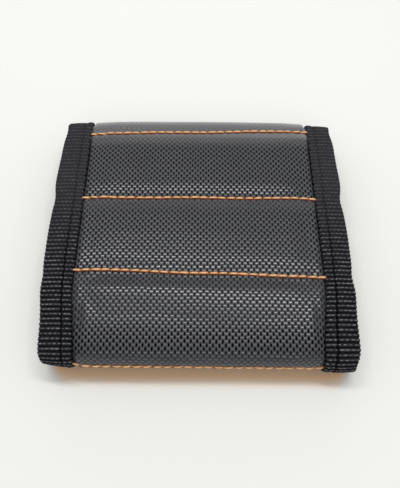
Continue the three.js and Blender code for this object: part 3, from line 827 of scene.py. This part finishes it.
def add_object(name, mesh, material):
    """A piece with one material."""
    piece = put_in_scene(name, mesh)
    mesh.materials.clear()
    mesh.materials.append(material)
    return piece


def plain_mesh(piece):
    """The piece's mesh with its modifiers worked in. The piece itself is removed."""
    bpy.context.view_layer.update()
    depsgraph = bpy.context.evaluated_depsgraph_get()
    mesh = bpy.data.meshes.new_from_object(piece.evaluated_get(depsgraph))
    bpy.data.objects.remove(piece)
    return mesh


def mesh_of(name, points, faces, layer, flat, smooth_to=50):
    """A smooth-shaded mesh whose edges sharper than the given angle stay crisp. Its UV map
    holds each point's flat place, in metres."""
    mesh = bpy.data.meshes.new(name)
    mesh.from_pydata(points.tolist(), [], faces)
    mesh.shade_smooth()
    mesh.set_sharp_from_angle(angle=math.radians(smooth_to))
    corners = np.zeros(len(mesh.loops), np.int32)
    mesh.loops.foreach_get("vertex_index", corners)
    places = flat[corners].astype(np.float32)
    mesh.uv_layers.new(name=layer).data.foreach_set("uv", places.ravel())
    return mesh


def cloth_piece(name, places, across, outer, inner, material):
    """A closed cloth between two heights over the outer face. Its UV map "band" holds the
    distance across the band and the place along it, in metres."""
    place, side = np.meshgrid(places, across, indexing="ij")
    rows, columns = place.shape
    points = np.concatenate([
        lay(place, side, outer(place, side)).reshape(-1, 3),
        lay(place, side, inner(place, side)).reshape(-1, 3),
    ])
    face = np.arange(rows * columns).reshape(rows, columns)
    a, b, c, d = face[:-1, :-1], face[:-1, 1:], face[1:, 1:], face[1:, :-1]
    top = np.stack([a, b, c, d], axis=-1).reshape(-1, 4)
    under = np.stack([d, c, b, a], axis=-1).reshape(-1, 4) + rows * columns
    rim = np.concatenate([face[0], face[1:, -1], face[-1, -2::-1], face[-2:0:-1, 0]])
    ahead = np.roll(rim, -1)
    wall = np.stack([ahead, rim, rim + rows * columns, ahead + rows * columns], axis=-1)
    flat = np.tile(np.stack([side, place], axis=-1).reshape(-1, 2), (2, 1))
    mesh = mesh_of(name, points, np.concatenate([top, under, wall]).tolist(), "band", flat)
    return add_object(name, mesh, material)


def steps(start, end, size):
    return np.linspace(start, end, max(2, round((end - start) / size) + 1))


def shell_back(place, across):
    return shell_height(place, across) - CLOTH


def lining_back(place, across):
    return lining_height(place, across) + CLOTH


TIP_INSET = 1.2 * MM
for stretch, start, end, hinge, heading in STRETCHES:
    first = start + (TIP_INSET if start == OUTER_TIP else 0)
    last = end - (TIP_INSET if end == INNER_TIP else 0)
    shell = cloth_piece(f"shell_{stretch}", steps(first, last, 0.5 * MM),
                        steps(-CLOTH_EDGE, CLOTH_EDGE, 0.8 * MM), shell_height, shell_back,
                        SHELL_CLOTH)
    lining = cloth_piece(f"lining_{stretch}", steps(first, last, 0.7 * MM),
                         steps(-CLOTH_EDGE, CLOTH_EDGE, 1.4 * MM), lining_back, lining_height,
                         LINING_CLOTH)
    for piece, layer, slot in ((shell, "shell", "shell_cloth"), (lining, "lining", "lining_mesh")):
        bend(piece, hinge)
        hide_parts(*[f"{body}_{layer}" for body in STANDS_FOR[stretch]])


# Binding tape, a ribbed webbing folded round each edge

# A rib's height, the shares of its width at which it is sampled, and how much of it wears away
RIB_HEIGHT = 0.34 * MM
RIB_STEPS = np.array([0.0, 0.1, 0.26, 0.5, 0.74, 0.9])
RIB_WORN = 0.6

# The tape's turn round the edge, the swell of its legs, the groove of its seam, and the loops,
# the tuck and the curl of its inner edge
TURN_RADIUS = 0.95 * MM
TAPE_BELLY = 0.25 * MM
SEAM_DIP = 0.22 * MM
EDGE_SCALLOP = 0.55 * MM
EDGE_TUCK = 0.2 * MM
EDGE_CURL = 0.5 * MM


def rib_of(place):
    """The rounded cross ribs of the webbing, 0 in the groove and 1 on the crown."""
    phase = np.mod(place / RIB + 1e-6, 1)
    return np.sqrt(1 - 0.96 * (2 * phase - 1) ** 2) * 1.25 - 0.25


def loop_of(place):
    """The weft loops at the tape's inner edge, each joining two ribs, 0 between loops."""
    phase = np.mod(place / (2 * RIB) + 1e-6, 1)
    return 1 - np.abs(2 * phase - 1) ** 4


def rib_places(start, end):
    """Places that sample each rib finely at its groove."""
    ribs = np.arange(math.floor(start / RIB), math.ceil(end / RIB) + 1)
    inside = ((ribs[:, None] + RIB_STEPS) * RIB).ravel()
    inside = inside[(inside > start + 0.05 * MM) & (inside < end - 0.05 * MM)]
    return np.concatenate([[start], inside, [end]])


def tape_outline(leg, rib, loop, belly=0.0, curl=0.0):
    """The folded tape's section as distances in from the edge and heights, all the way round.
    leg is its outer leg's width, rib and loop the rise of its rib and edge loop here, belly the
    swell of its legs and curl the lift of its inner edge."""
    lift = RIB_HEIGHT * (rib - 1)
    scallop = EDGE_SCALLOP * (loop - 1)
    legs = np.linspace(0, 1, 12)
    flat = TURN_RADIUS + (leg + scallop - TURN_RADIUS) * (1 - legs)
    seam = SEAM_DIP * bell(flat - leg + SEAM_IN, 0.5 * MM)
    tuck = EDGE_TUCK * ease(flat, leg - 0.7 * MM, leg) - curl * ease(flat, leg - 4 * MM, leg)
    bow = belly * np.sin(math.pi * np.clip((flat - TURN_RADIUS) / (leg - TURN_RADIUS), 0, 1))
    height = lift + bow - seam - tuck
    turn = np.linspace(0, math.pi / 2, 5)[1:-1]
    round_in = TURN_RADIUS - (TURN_RADIUS + lift) * np.sin(turn)
    round_down = -TURN_RADIUS + (TURN_RADIUS + lift) * np.cos(turn)
    web = np.array([-TURN_RADIUS, -BAND / 2, -BAND + TURN_RADIUS])
    leg_and_turn = list(zip(flat, height)) + list(zip(round_in, round_down))
    top = [(flat[0], -TAPE)] + leg_and_turn
    side = [(-lift, z) for z in web]
    under = [(inset, -BAND - rise) for inset, rise in reversed(leg_and_turn)]
    under = under + [(flat[0], -BAND + TAPE), (TAPE, -BAND + TAPE), (TAPE, -TAPE)]
    return np.array(top + side + under)


def tape_mesh(name, along, rings, flip):
    """A closed tube through the rings of points, capped at both ends. Its UV map "tape" holds
    the distance round the section and the place along the tape."""
    count, ring = rings.shape[:2]
    round_it = np.linalg.norm(np.diff(rings[count // 2], axis=0), axis=1)
    around = np.concatenate([[0], np.cumsum(round_it)])
    flat = np.stack(np.meshgrid(around, along), axis=-1).reshape(-1, 2)
    index = np.arange(count * ring).reshape(count, ring)
    near, far = index[:-1], index[1:]
    sides = np.stack([near, far, np.roll(far, -1, 1), np.roll(near, -1, 1)], axis=-1).reshape(-1, 4)
    faces = sides.tolist() + [index[0].tolist(), index[-1, ::-1].tolist()]
    if flip:
        faces = [face[::-1] for face in faces]
    return mesh_of(name, rings.reshape(-1, 3), faces, "tape", flat, 60)


def side_rings(places, side):
    """The tape's section along one edge of the band. Its ribs are worn lower on the top."""
    rings = []
    for place in places:
        edge = edge_of(place, side)
        curl = EDGE_CURL * bell(place - 67 * MM, 5 * MM)
        belly = TAPE_BELLY * (ease(place, FRONT_START, FRONT_ROW)
                              - ease(place, BACK_MIDDLE, INNER_START))
        worn = RIB_WORN * (ease(place, *WEAR) - ease(place, *FRESH))
        outline = tape_outline(edge - bound_of(place), 1 - (1 - worn) * (1 - rib_of(place)),
                               loop_of(place), belly, curl)
        rings.append(lay(np.full(len(outline), place), side * (edge - outline[:, 0]),
                         outline[:, 1] + tape_sag(place, side, outline[:, 0])))
    return np.array(rings)


def end_rings(tip, inward, across):
    """The tape's section along a flap's cut end."""
    rings = []
    for x in across:
        outline = tape_outline(END_LEG, rib_of(x), loop_of(x))
        rings.append(lay(tip + inward * outline[:, 0], np.full(len(outline), x), outline[:, 1]))
    return np.array(rings)


for side, word in EDGES:
    for stretch, start, end, hinge, heading in STRETCHES:
        name = f"binding_{word}_{stretch}"
        places = rib_places(start, end)
        rings = side_rings(places, side)
        tape = add_object(name, tape_mesh(name, places, rings, side < 0), WEBBING)
        bend(tape, hinge)
        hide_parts(*[f"{body}_binding_{word}" for body in STANDS_FOR[stretch]])

# An end tape's pattern starts far from any place on the band, where no rib is worn
END_LAP = 0.8 * MM
END_SHIFT = -200 * RIB
for body, tip, inward in FLAP_ENDS:
    name = f"end_binding_{body}"
    reach = bound_of(tip) + END_LAP
    across = rib_places(-reach, reach)
    mesh = tape_mesh(name, across + END_SHIFT, end_rings(tip, inward, across), inward < 0)
    tape = add_object(name, mesh, WEBBING)
    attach(tape, body)
    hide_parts(f"{body}_end_binding")


# Sewing, by a tree that repeats one stitch along a line


def new_tree(name, sizes):
    """A geometry tree with a geometry input, the named sizes, a material and an output, and the
    sockets that give it what is put in."""
    tree = bpy.data.node_groups.new(name, "GeometryNodeTree")
    tree.interface.new_socket("Geometry", in_out="INPUT", socket_type="NodeSocketGeometry")
    for size, kind in sizes.items():
        tree.interface.new_socket(size, in_out="INPUT", socket_type=kind)
    tree.interface.new_socket("Material", in_out="INPUT", socket_type="NodeSocketMaterial")
    tree.interface.new_socket("Geometry", in_out="OUTPUT", socket_type="NodeSocketGeometry")
    return tree, add(tree, "NodeGroupInput").outputs


def end_tree(tree, instances, given):
    """Realises the instances, shades them smooth and gives them the tree's material."""
    solid = add(tree, "GeometryNodeRealizeInstances", {"Geometry": instances})
    smooth = add(tree, "GeometryNodeSetShadeSmooth", {"Geometry": solid})
    finish = add(tree, "GeometryNodeSetMaterial", {
        "Geometry": smooth, "Material": given["Material"],
    })
    add(tree, "NodeGroupOutput", {"Geometry": finish})


def grown(name, tree, mesh, values, material):
    """The mesh that a tree grows on a carrier mesh, as a plain object."""
    carrier = put_in_scene(name + "_line", mesh)
    modifier = carrier.modifiers.new("grow", "NODES")
    modifier.node_group = tree
    for socket in tree.interface.items_tree:
        if socket.in_out == "INPUT" and socket.name in values:
            modifier[socket.identifier] = values[socket.name]
        elif socket.in_out == "INPUT" and socket.name == "Material":
            modifier[socket.identifier] = material
    result = plain_mesh(carrier)
    result.name = name
    return add_object(name, result, material)


def stitch_spots(tree, given):
    """Points a stitch apart along the lines, drawn together in pairs, and how they are turned."""
    line = add(tree, "GeometryNodeMeshToCurve", {"Mesh": given["Geometry"]})
    spaced = add(tree, "GeometryNodeResampleCurve", {
        "Curve": line, "Length": given["Stitch Length"],
    }, mode="LENGTH")
    tangent = add(tree, "GeometryNodeInputTangent")
    index = add(tree, "GeometryNodeInputIndex")
    second = add(tree, "ShaderNodeMath", {0: index, 1: 2.0}, operation="MODULO")
    pull = add(tree, "ShaderNodeMath", {0: second, 1: given["Pairing"]}, operation="MULTIPLY")
    towards = add(tree, "ShaderNodeVectorMath", {0: tangent, "Scale": pull}, operation="SCALE")
    points = add(tree, "GeometryNodeSetPosition", {"Geometry": spaced, "Offset": towards})
    up = add(tree, "GeometryNodeInputNamedAttribute", {"Name": "up"}, data_type="FLOAT_VECTOR")
    turn = add(tree, "FunctionNodeAxesToRotation", {
        "Primary Axis": up, "Secondary Axis": tangent,
    }, primary_axis="Z", secondary_axis="X")
    return points, turn


def one_stitch(tree, given):
    """A bowed, twisted thread that dips into the cloth at both ends. Its "crown" attribute says how
    far each point faces up, which the thread's material uses for its painted highlight and shade."""
    half = add(tree, "ShaderNodeMath", {0: given["Stitch Length"], 1: 0.5}, operation="MULTIPLY")
    minus = add(tree, "ShaderNodeMath", {0: half, 1: -1.0}, operation="MULTIPLY")
    dip = add(tree, "ShaderNodeMath", {0: given["Thread"], 1: -0.62}, operation="MULTIPLY")
    start = add(tree, "ShaderNodeCombineXYZ", {0: minus, 2: dip})
    rising = add(tree, "ShaderNodeCombineXYZ", {0: minus, 2: given["Rise"]})
    falling = add(tree, "ShaderNodeCombineXYZ", {0: half, 2: given["Rise"]})
    end = add(tree, "ShaderNodeCombineXYZ", {0: half, 2: dip})
    bow = add(tree, "GeometryNodeCurvePrimitiveBezierSegment", {
        "Resolution": 8, "Start": start, "Start Handle": rising,
        "End Handle": falling, "End": end,
    })
    along = add(tree, "GeometryNodeSplineParameter")
    twist = add(tree, "ShaderNodeMath", {0: along.outputs["Factor"], 1: 2.6}, operation="MULTIPLY")
    twisted = add(tree, "GeometryNodeSetCurveTilt", {"Curve": bow, "Tilt": twist})
    radius = add(tree, "ShaderNodeMath", {0: given["Thread"], 1: 0.5}, operation="MULTIPLY")
    ring = add(tree, "GeometryNodeCurvePrimitiveCircle", {"Resolution": 8, "Radius": radius})
    plies = add(tree, "GeometryNodeTransform", {"Geometry": ring, "Scale": (1.06, 0.9, 1.0)})
    thread = add(tree, "GeometryNodeCurveToMesh", {
        "Curve": twisted, "Profile Curve": plies, "Fill Caps": True,
    })
    facing = add(tree, "GeometryNodeInputNormal")
    rise = add(tree, "ShaderNodeSeparateXYZ", {0: facing})
    return add(tree, "GeometryNodeStoreNamedAttribute", {
        "Geometry": thread, "Name": "crown", "Value": rise.outputs["Z"],
    }, data_type="FLOAT", domain="POINT")


def make_stitch_tree():
    """One thread per stitch, each a little different, standing on the line's "up" directions."""
    tree, given = new_tree("sewn_line", {
        "Stitch Length": "NodeSocketFloat", "Thread": "NodeSocketFloat",
        "Rise": "NodeSocketFloat", "Pairing": "NodeSocketFloat", "Seed": "NodeSocketInt",
    })
    points, turn = stitch_spots(tree, given)
    stitch = one_stitch(tree, given)
    size = add(tree, "FunctionNodeRandomValue", {
        0: (0.88, 0.88, 0.85), 1: (1.1, 1.08, 1.1), "Seed": given["Seed"],
    }, data_type="FLOAT_VECTOR")
    yaw = add(tree, "FunctionNodeRandomValue", {
        0: (0.0, 0.0, -0.07), 1: (0.0, 0.0, 0.07), "Seed": given["Seed"],
    }, data_type="FLOAT_VECTOR")
    sewn = add(tree, "GeometryNodeInstanceOnPoints", {
        "Points": points, "Instance": stitch, "Rotation": turn, "Scale": size,
    })
    swung = add(tree, "GeometryNodeRotateInstances", {"Instances": sewn, "Rotation": yaw})
    end_tree(tree, swung, given)
    return tree


def line_mesh(lines):
    """A mesh of open lines, each given as its points and its up directions."""
    points, edges, ups = [], [], []
    for line, up in lines:
        edges.extend((len(points) + at, len(points) + at + 1) for at in range(len(line) - 1))
        points.extend(line.tolist())
        ups.extend(up.tolist())
    mesh = bpy.data.meshes.new("line")
    mesh.from_pydata(points, edges, [])
    mesh.attributes.new("up", "FLOAT_VECTOR", "POINT").data.foreach_set(
        "vector", np.array(ups, np.float32).ravel())
    return mesh


def outward(place, flip=1):
    """The outer face's direction at a place, or the wrist side's where flip is -1."""
    lean = outer_face(place)[2]
    return flip * np.stack([0 * lean, np.sin(lean), np.cos(lean)], axis=-1)


STITCH_TREE = make_stitch_tree()
ROW_THREAD = 1.05 * MM
ROW_INSET = 0.9 * MM
ROW_SWING = 0.12 * MM
ROW_STAND = 0.05 * MM
FRONT_ROLL = 3.5 * MM
SEAM_THREAD = 0.5 * MM
SEAM_STITCH = 2.6 * MM
SEAM_RISE = 0.24 * MM
SEAM_SINK = 0.4 * MM
SEAM_GAP = 0.8 * MM
END_SEAM_REACH = 34.5 * MM


def row_line(row, height, flip):
    """One row across the band, on the outer face or on the lining. The front row's threads are
    rolled upwards by the pull of the top."""
    reach = bound_of(row) - ROW_INSET
    across = steps(-reach, reach, 1.5 * MM)
    place = row_place(row, across)
    swing = place + ROW_SWING * np.sin(across / (5.1 * MM) + row / MM)
    stand = height(swing, across) + flip * ROW_STAND
    roll = FRONT_ROLL if row == FRONT_ROW else 0
    return lay(swing, across, stand), outward(place + roll, flip)


ROW_NODES = [
    ("tail_stitch", TAIL_ROW, "outer_flap"),
    ("flap_stitch", FLAP_ROW, "outer_flap"),
    ("front_stitch", FRONT_ROW, "front_fold"),
    ("front_pocket_stitch", TOP_ROWS[0], "top"),
    ("middle_pocket_stitch", TOP_ROWS[1], "top"),
    ("back_pocket_stitch", TOP_ROWS[2], "top"),
]
for seed, (node, row, body) in enumerate(ROW_NODES):
    lines = line_mesh([row_line(row, shell_height, 1), row_line(row, lining_height, -1)])
    thread = grown(f"{node}_row", STITCH_TREE, lines, {
        "Stitch Length": STITCH, "Thread": ROW_THREAD, "Rise": 0.4 * MM,
        "Pairing": -0.15 * MM, "Seed": seed,
    }, ORANGE_THREAD)
    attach(thread, body)
    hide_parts(node)


def seam_line(places, side, flip):
    """The black seam along a tape, on its outer or its wrist side."""
    across = side * (bound_of(places) + SEAM_IN)
    sag = tape_sag(places, side, edge_of(places, side) - bound_of(places) - SEAM_IN)
    height = sag - (SEAM_SINK if flip > 0 else BAND - SEAM_SINK)
    return lay(places, across, height), outward(places, flip)


def sew_seam(name, lines, seed):
    """Short black stitches along the given lines."""
    seam = grown(name, STITCH_TREE, line_mesh(lines), {
        "Stitch Length": SEAM_STITCH, "Thread": SEAM_THREAD, "Rise": SEAM_RISE, "Seed": seed,
    }, BLACK_THREAD)
    return seam


for side, word in EDGES:
    for seed, (stretch, start, end, hinge, heading) in enumerate(STRETCHES):
        places = steps(start + SEAM_GAP, end - SEAM_GAP, 1.0 * MM)
        lines = [seam_line(places, side, 1), seam_line(places, side, -1)]
        bend(sew_seam(f"seam_{word}_{stretch}", lines, 20 + seed), hinge)

for seed, (body, tip, inward) in enumerate(FLAP_ENDS):
    across = steps(-END_SEAM_REACH, END_SEAM_REACH, 1.5 * MM)
    place = np.full(len(across), tip + inward * (END_LEG - SEAM_IN))
    lines = [
        (lay(place, across, -SEAM_SINK), outward(place)),
        (lay(place, across, -BAND + SEAM_SINK), outward(place, -1)),
    ]
    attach(sew_seam(f"end_seam_{body}", lines, 30 + seed), body)


# Hook and loop patches: a plate with rounded corners that carries a field of hooks or loops


def merged_copy(node, name):
    """A copy of a frame node's mesh with its corners welded."""
    mesh = frame["nodes"][node].data.copy()
    mesh.name = name
    piece = put_in_scene(name, mesh)
    weld = piece.modifiers.new("weld", "WELD")
    weld.merge_threshold = 0.01 * MM
    return piece


def applied(piece, material):
    """The piece with its modifiers turned into a plain mesh."""
    name = piece.name
    mesh = plain_mesh(piece)
    mesh.name = name
    mesh.shade_smooth()
    mesh.set_sharp_from_angle(angle=math.radians(40))
    return add_object(name, mesh, material)


def make_field_tree():
    """A field of small bent threads on a rectangle of points, tilted at random."""
    tree, given = new_tree("bent_field", {
        "Width": "NodeSocketFloat", "Depth": "NodeSocketFloat", "Across": "NodeSocketInt",
        "Along": "NodeSocketInt", "Height": "NodeSocketFloat", "Reach": "NodeSocketFloat",
        "Close": "NodeSocketFloat", "Thread": "NodeSocketFloat", "Scatter": "NodeSocketFloat",
        "Tumble": "NodeSocketFloat", "Seed": "NodeSocketInt",
    })
    grid = add(tree, "GeometryNodeMeshGrid", {
        "Size X": given["Width"], "Size Y": given["Depth"],
        "Vertices X": given["Across"], "Vertices Y": given["Along"],
    })
    less = add(tree, "ShaderNodeMath", {0: given["Scatter"], 1: -1.0}, operation="MULTIPLY")
    low = add(tree, "ShaderNodeCombineXYZ", {0: less, 1: less})
    high = add(tree, "ShaderNodeCombineXYZ", {0: given["Scatter"], 1: given["Scatter"]})
    jitter = add(tree, "FunctionNodeRandomValue", {
        0: low, 1: high, "Seed": given["Seed"],
    }, data_type="FLOAT_VECTOR")
    spread = add(tree, "GeometryNodeSetPosition", {"Geometry": grid, "Offset": jitter})
    tip = add(tree, "ShaderNodeCombineXYZ", {0: given["Reach"], 2: given["Close"]})
    over = add(tree, "ShaderNodeCombineXYZ", {0: given["Reach"], 2: given["Height"]})
    rise = add(tree, "ShaderNodeCombineXYZ", {2: given["Height"]})
    bow = add(tree, "GeometryNodeCurvePrimitiveBezierSegment", {
        "Resolution": 6, "Start": (0.0, 0.0, 0.0), "Start Handle": rise,
        "End Handle": over, "End": tip,
    })
    ring = add(tree, "GeometryNodeCurvePrimitiveCircle", {
        "Resolution": 5, "Radius": given["Thread"],
    })
    hook = add(tree, "GeometryNodeCurveToMesh", {
        "Curve": bow, "Profile Curve": ring, "Fill Caps": True,
    })
    back = add(tree, "ShaderNodeMath", {0: given["Tumble"], 1: -1.0}, operation="MULTIPLY")
    yaw = add(tree, "FunctionNodeRandomValue", {
        2: back, 3: given["Tumble"], "Seed": given["Seed"],
    }, data_type="FLOAT")
    spin = add(tree, "ShaderNodeCombineXYZ", {2: yaw})
    field = add(tree, "GeometryNodeInstanceOnPoints", {
        "Points": spread, "Instance": hook, "Rotation": spin,
    })
    end_tree(tree, field, given)
    return tree


FIELD_TREE = make_field_tree()
PLATE = 0.45 * MM
FIELD_ROOT = 0.8 * PLATE
FIELD_MARGIN = 3 * MM


def patch_piece(node, body, up, values, material):
    """A patch: the frame's plate thinned towards its sewn face, with its field grown on it."""
    low, high = (Vector(corner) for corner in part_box(node))
    middle = (low + high) / 2
    plate = merged_copy(node, f"{node}_plate")
    sewn = low.z if up > 0 else high.z
    for vertex in plate.data.vertices:
        vertex.co.z = sewn + (vertex.co.z - sewn) * PLATE / (high.z - low.z)
    plate = applied(plate, material)
    empty = bpy.data.meshes.new("field")
    field = grown(f"{node}_field", FIELD_TREE, empty, {
        "Width": high.x - low.x - FIELD_MARGIN, "Depth": high.y - low.y - FIELD_MARGIN, **values,
    }, material)
    turn = Matrix.Identity(4) if up > 0 else Matrix.Rotation(math.pi, 4, "X")
    lift = Matrix.Translation((middle.x, middle.y, sewn + up * FIELD_ROOT))
    field.data.transform(lift @ turn)
    for piece in (plate, field):
        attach(piece, body)
    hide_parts(node)


patch_piece("hook_patch", "outer_flap", 1, {
    "Across": 50, "Along": 9, "Height": 0.75 * MM, "Reach": 0.5 * MM, "Close": 0.35 * MM,
    "Thread": 0.12 * MM, "Scatter": 0.1 * MM, "Tumble": 0.25, "Seed": 3,
}, HOOKS)
patch_piece("loop_patch", "inner_flap", -1, {
    "Across": 62, "Along": 18, "Height": 0.55 * MM, "Reach": 0.8 * MM, "Close": 0.0,
    "Thread": 0.09 * MM, "Scatter": 0.45 * MM, "Tumble": 3.1, "Seed": 5,
}, LOOPS)


# Padding and magnets inside the pockets

PADS = [
    ("flap_pocket_foam", "outer_flap"), ("tail_stiffener", "outer_flap"),
    ("front_pocket_foam", "top"), ("middle_pocket_foam", "top"), ("back_pocket_foam", "top"),
    ("inner_flap_foam", "inner_flap"),
]
for node, body in PADS:
    pad = merged_copy(node, f"{node}_pad")
    soften = pad.modifiers.new("soften", "BEVEL")
    soften.width = 0.15 * MM
    soften.segments = 2
    soften.angle_limit = math.radians(50)
    pad = applied(pad, FOAM)
    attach(pad, body)
    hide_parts(node)

for node, carried in frame["nodes"].items():
    if "_magnet_" in node:
        carried.data.materials.clear()
        carried.data.materials.append(NICKEL)


# Table, light and camera

table_mesh = bpy.data.meshes.new("table")
TABLE = 3.0
table_mesh.from_pydata([(-TABLE, -TABLE, 0), (TABLE, -TABLE, 0), (TABLE, TABLE, 0),
                        (-TABLE, TABLE, 0)], [], [(0, 1, 2, 3)])
add_object("table", table_mesh, make_table())

world = bpy.data.worlds.new("studio")
bpy.context.scene.world = world
world.use_nodes = True
sky = world.node_tree
sky.nodes.clear()
path = add(sky, "ShaderNodeLightPath")
mirrored = add(sky, "ShaderNodeMath", {
    0: path.outputs["Is Glossy Ray"], 1: path.outputs["Is Transmission Ray"],
}, operation="MAXIMUM")
seen = add(sky, "ShaderNodeMath", {
    0: path.outputs["Is Camera Ray"], 1: mirrored,
}, operation="MAXIMUM")
room = add(sky, "ShaderNodeBackground", {"Color": (1, 1, 1, 1), "Strength": 0.55})
paper = add(sky, "ShaderNodeBackground", {"Color": linear("#f0f0ec"), "Strength": 0.6})
pick = add(sky, "ShaderNodeMixShader", {0: seen, 1: room, 2: paper})
add(sky, "ShaderNodeOutputWorld", {"Surface": pick})


def add_lamp(name, place, target, size, power, spin=0):
    """A soft box aimed at a target and spun about its own axis."""
    lamp = bpy.data.lights.new(name, "AREA")
    lamp.shape = "RECTANGLE"
    lamp.size, lamp.size_y = size
    lamp.energy = power
    holder = put_in_scene(name, lamp)
    holder.location = place
    aim = (Vector(target) - Vector(place)).to_track_quat("-Z", "Y")
    holder.rotation_euler = (aim @ Quaternion((0, 0, 1), spin)).to_euler()


add_lamp("overhead_softbox", (0.0, 0.155, 0.58), (0.0, 0.0, 0.0), (0.55, 0.08), 1.5,
         math.radians(-10))
add_lamp("front_fill", (0.0, -0.7, 0.6), (0.0, -0.1, 0.0), (0.5, 0.5), 0.75)
add_lamp("back_wall", (0.0, 1.7, 0.45), (0.0, 0.0, 0.0), (3.0, 0.7), 5.0)

TARGET = Vector((0.25, -7.6, 13.9)) * MM
DISTANCE = 163 * MM
AZIMUTH = math.radians(-0.7)
ELEVATION = math.radians(60.1)
ROLL = math.radians(0.94)
back = Vector((math.sin(AZIMUTH) * math.cos(ELEVATION), -math.cos(AZIMUTH) * math.cos(ELEVATION),
               math.sin(ELEVATION)))
right = Vector((math.cos(AZIMUTH), math.sin(AZIMUTH), 0))
up = back.cross(right)
camera = put_in_scene("camera", bpy.data.cameras.new("camera"))
camera.data.lens = 39.84
camera.data.sensor_width = 36
camera.data.clip_start = 0.01
turned = Matrix((right * math.cos(ROLL) + up * math.sin(ROLL),
                 up * math.cos(ROLL) - right * math.sin(ROLL), back)).transposed()
camera.matrix_world = Matrix.Translation(TARGET + back * DISTANCE) @ turned.to_4x4()
bpy.context.scene.camera = camera

bpy.context.scene.view_settings.view_transform = "Standard"
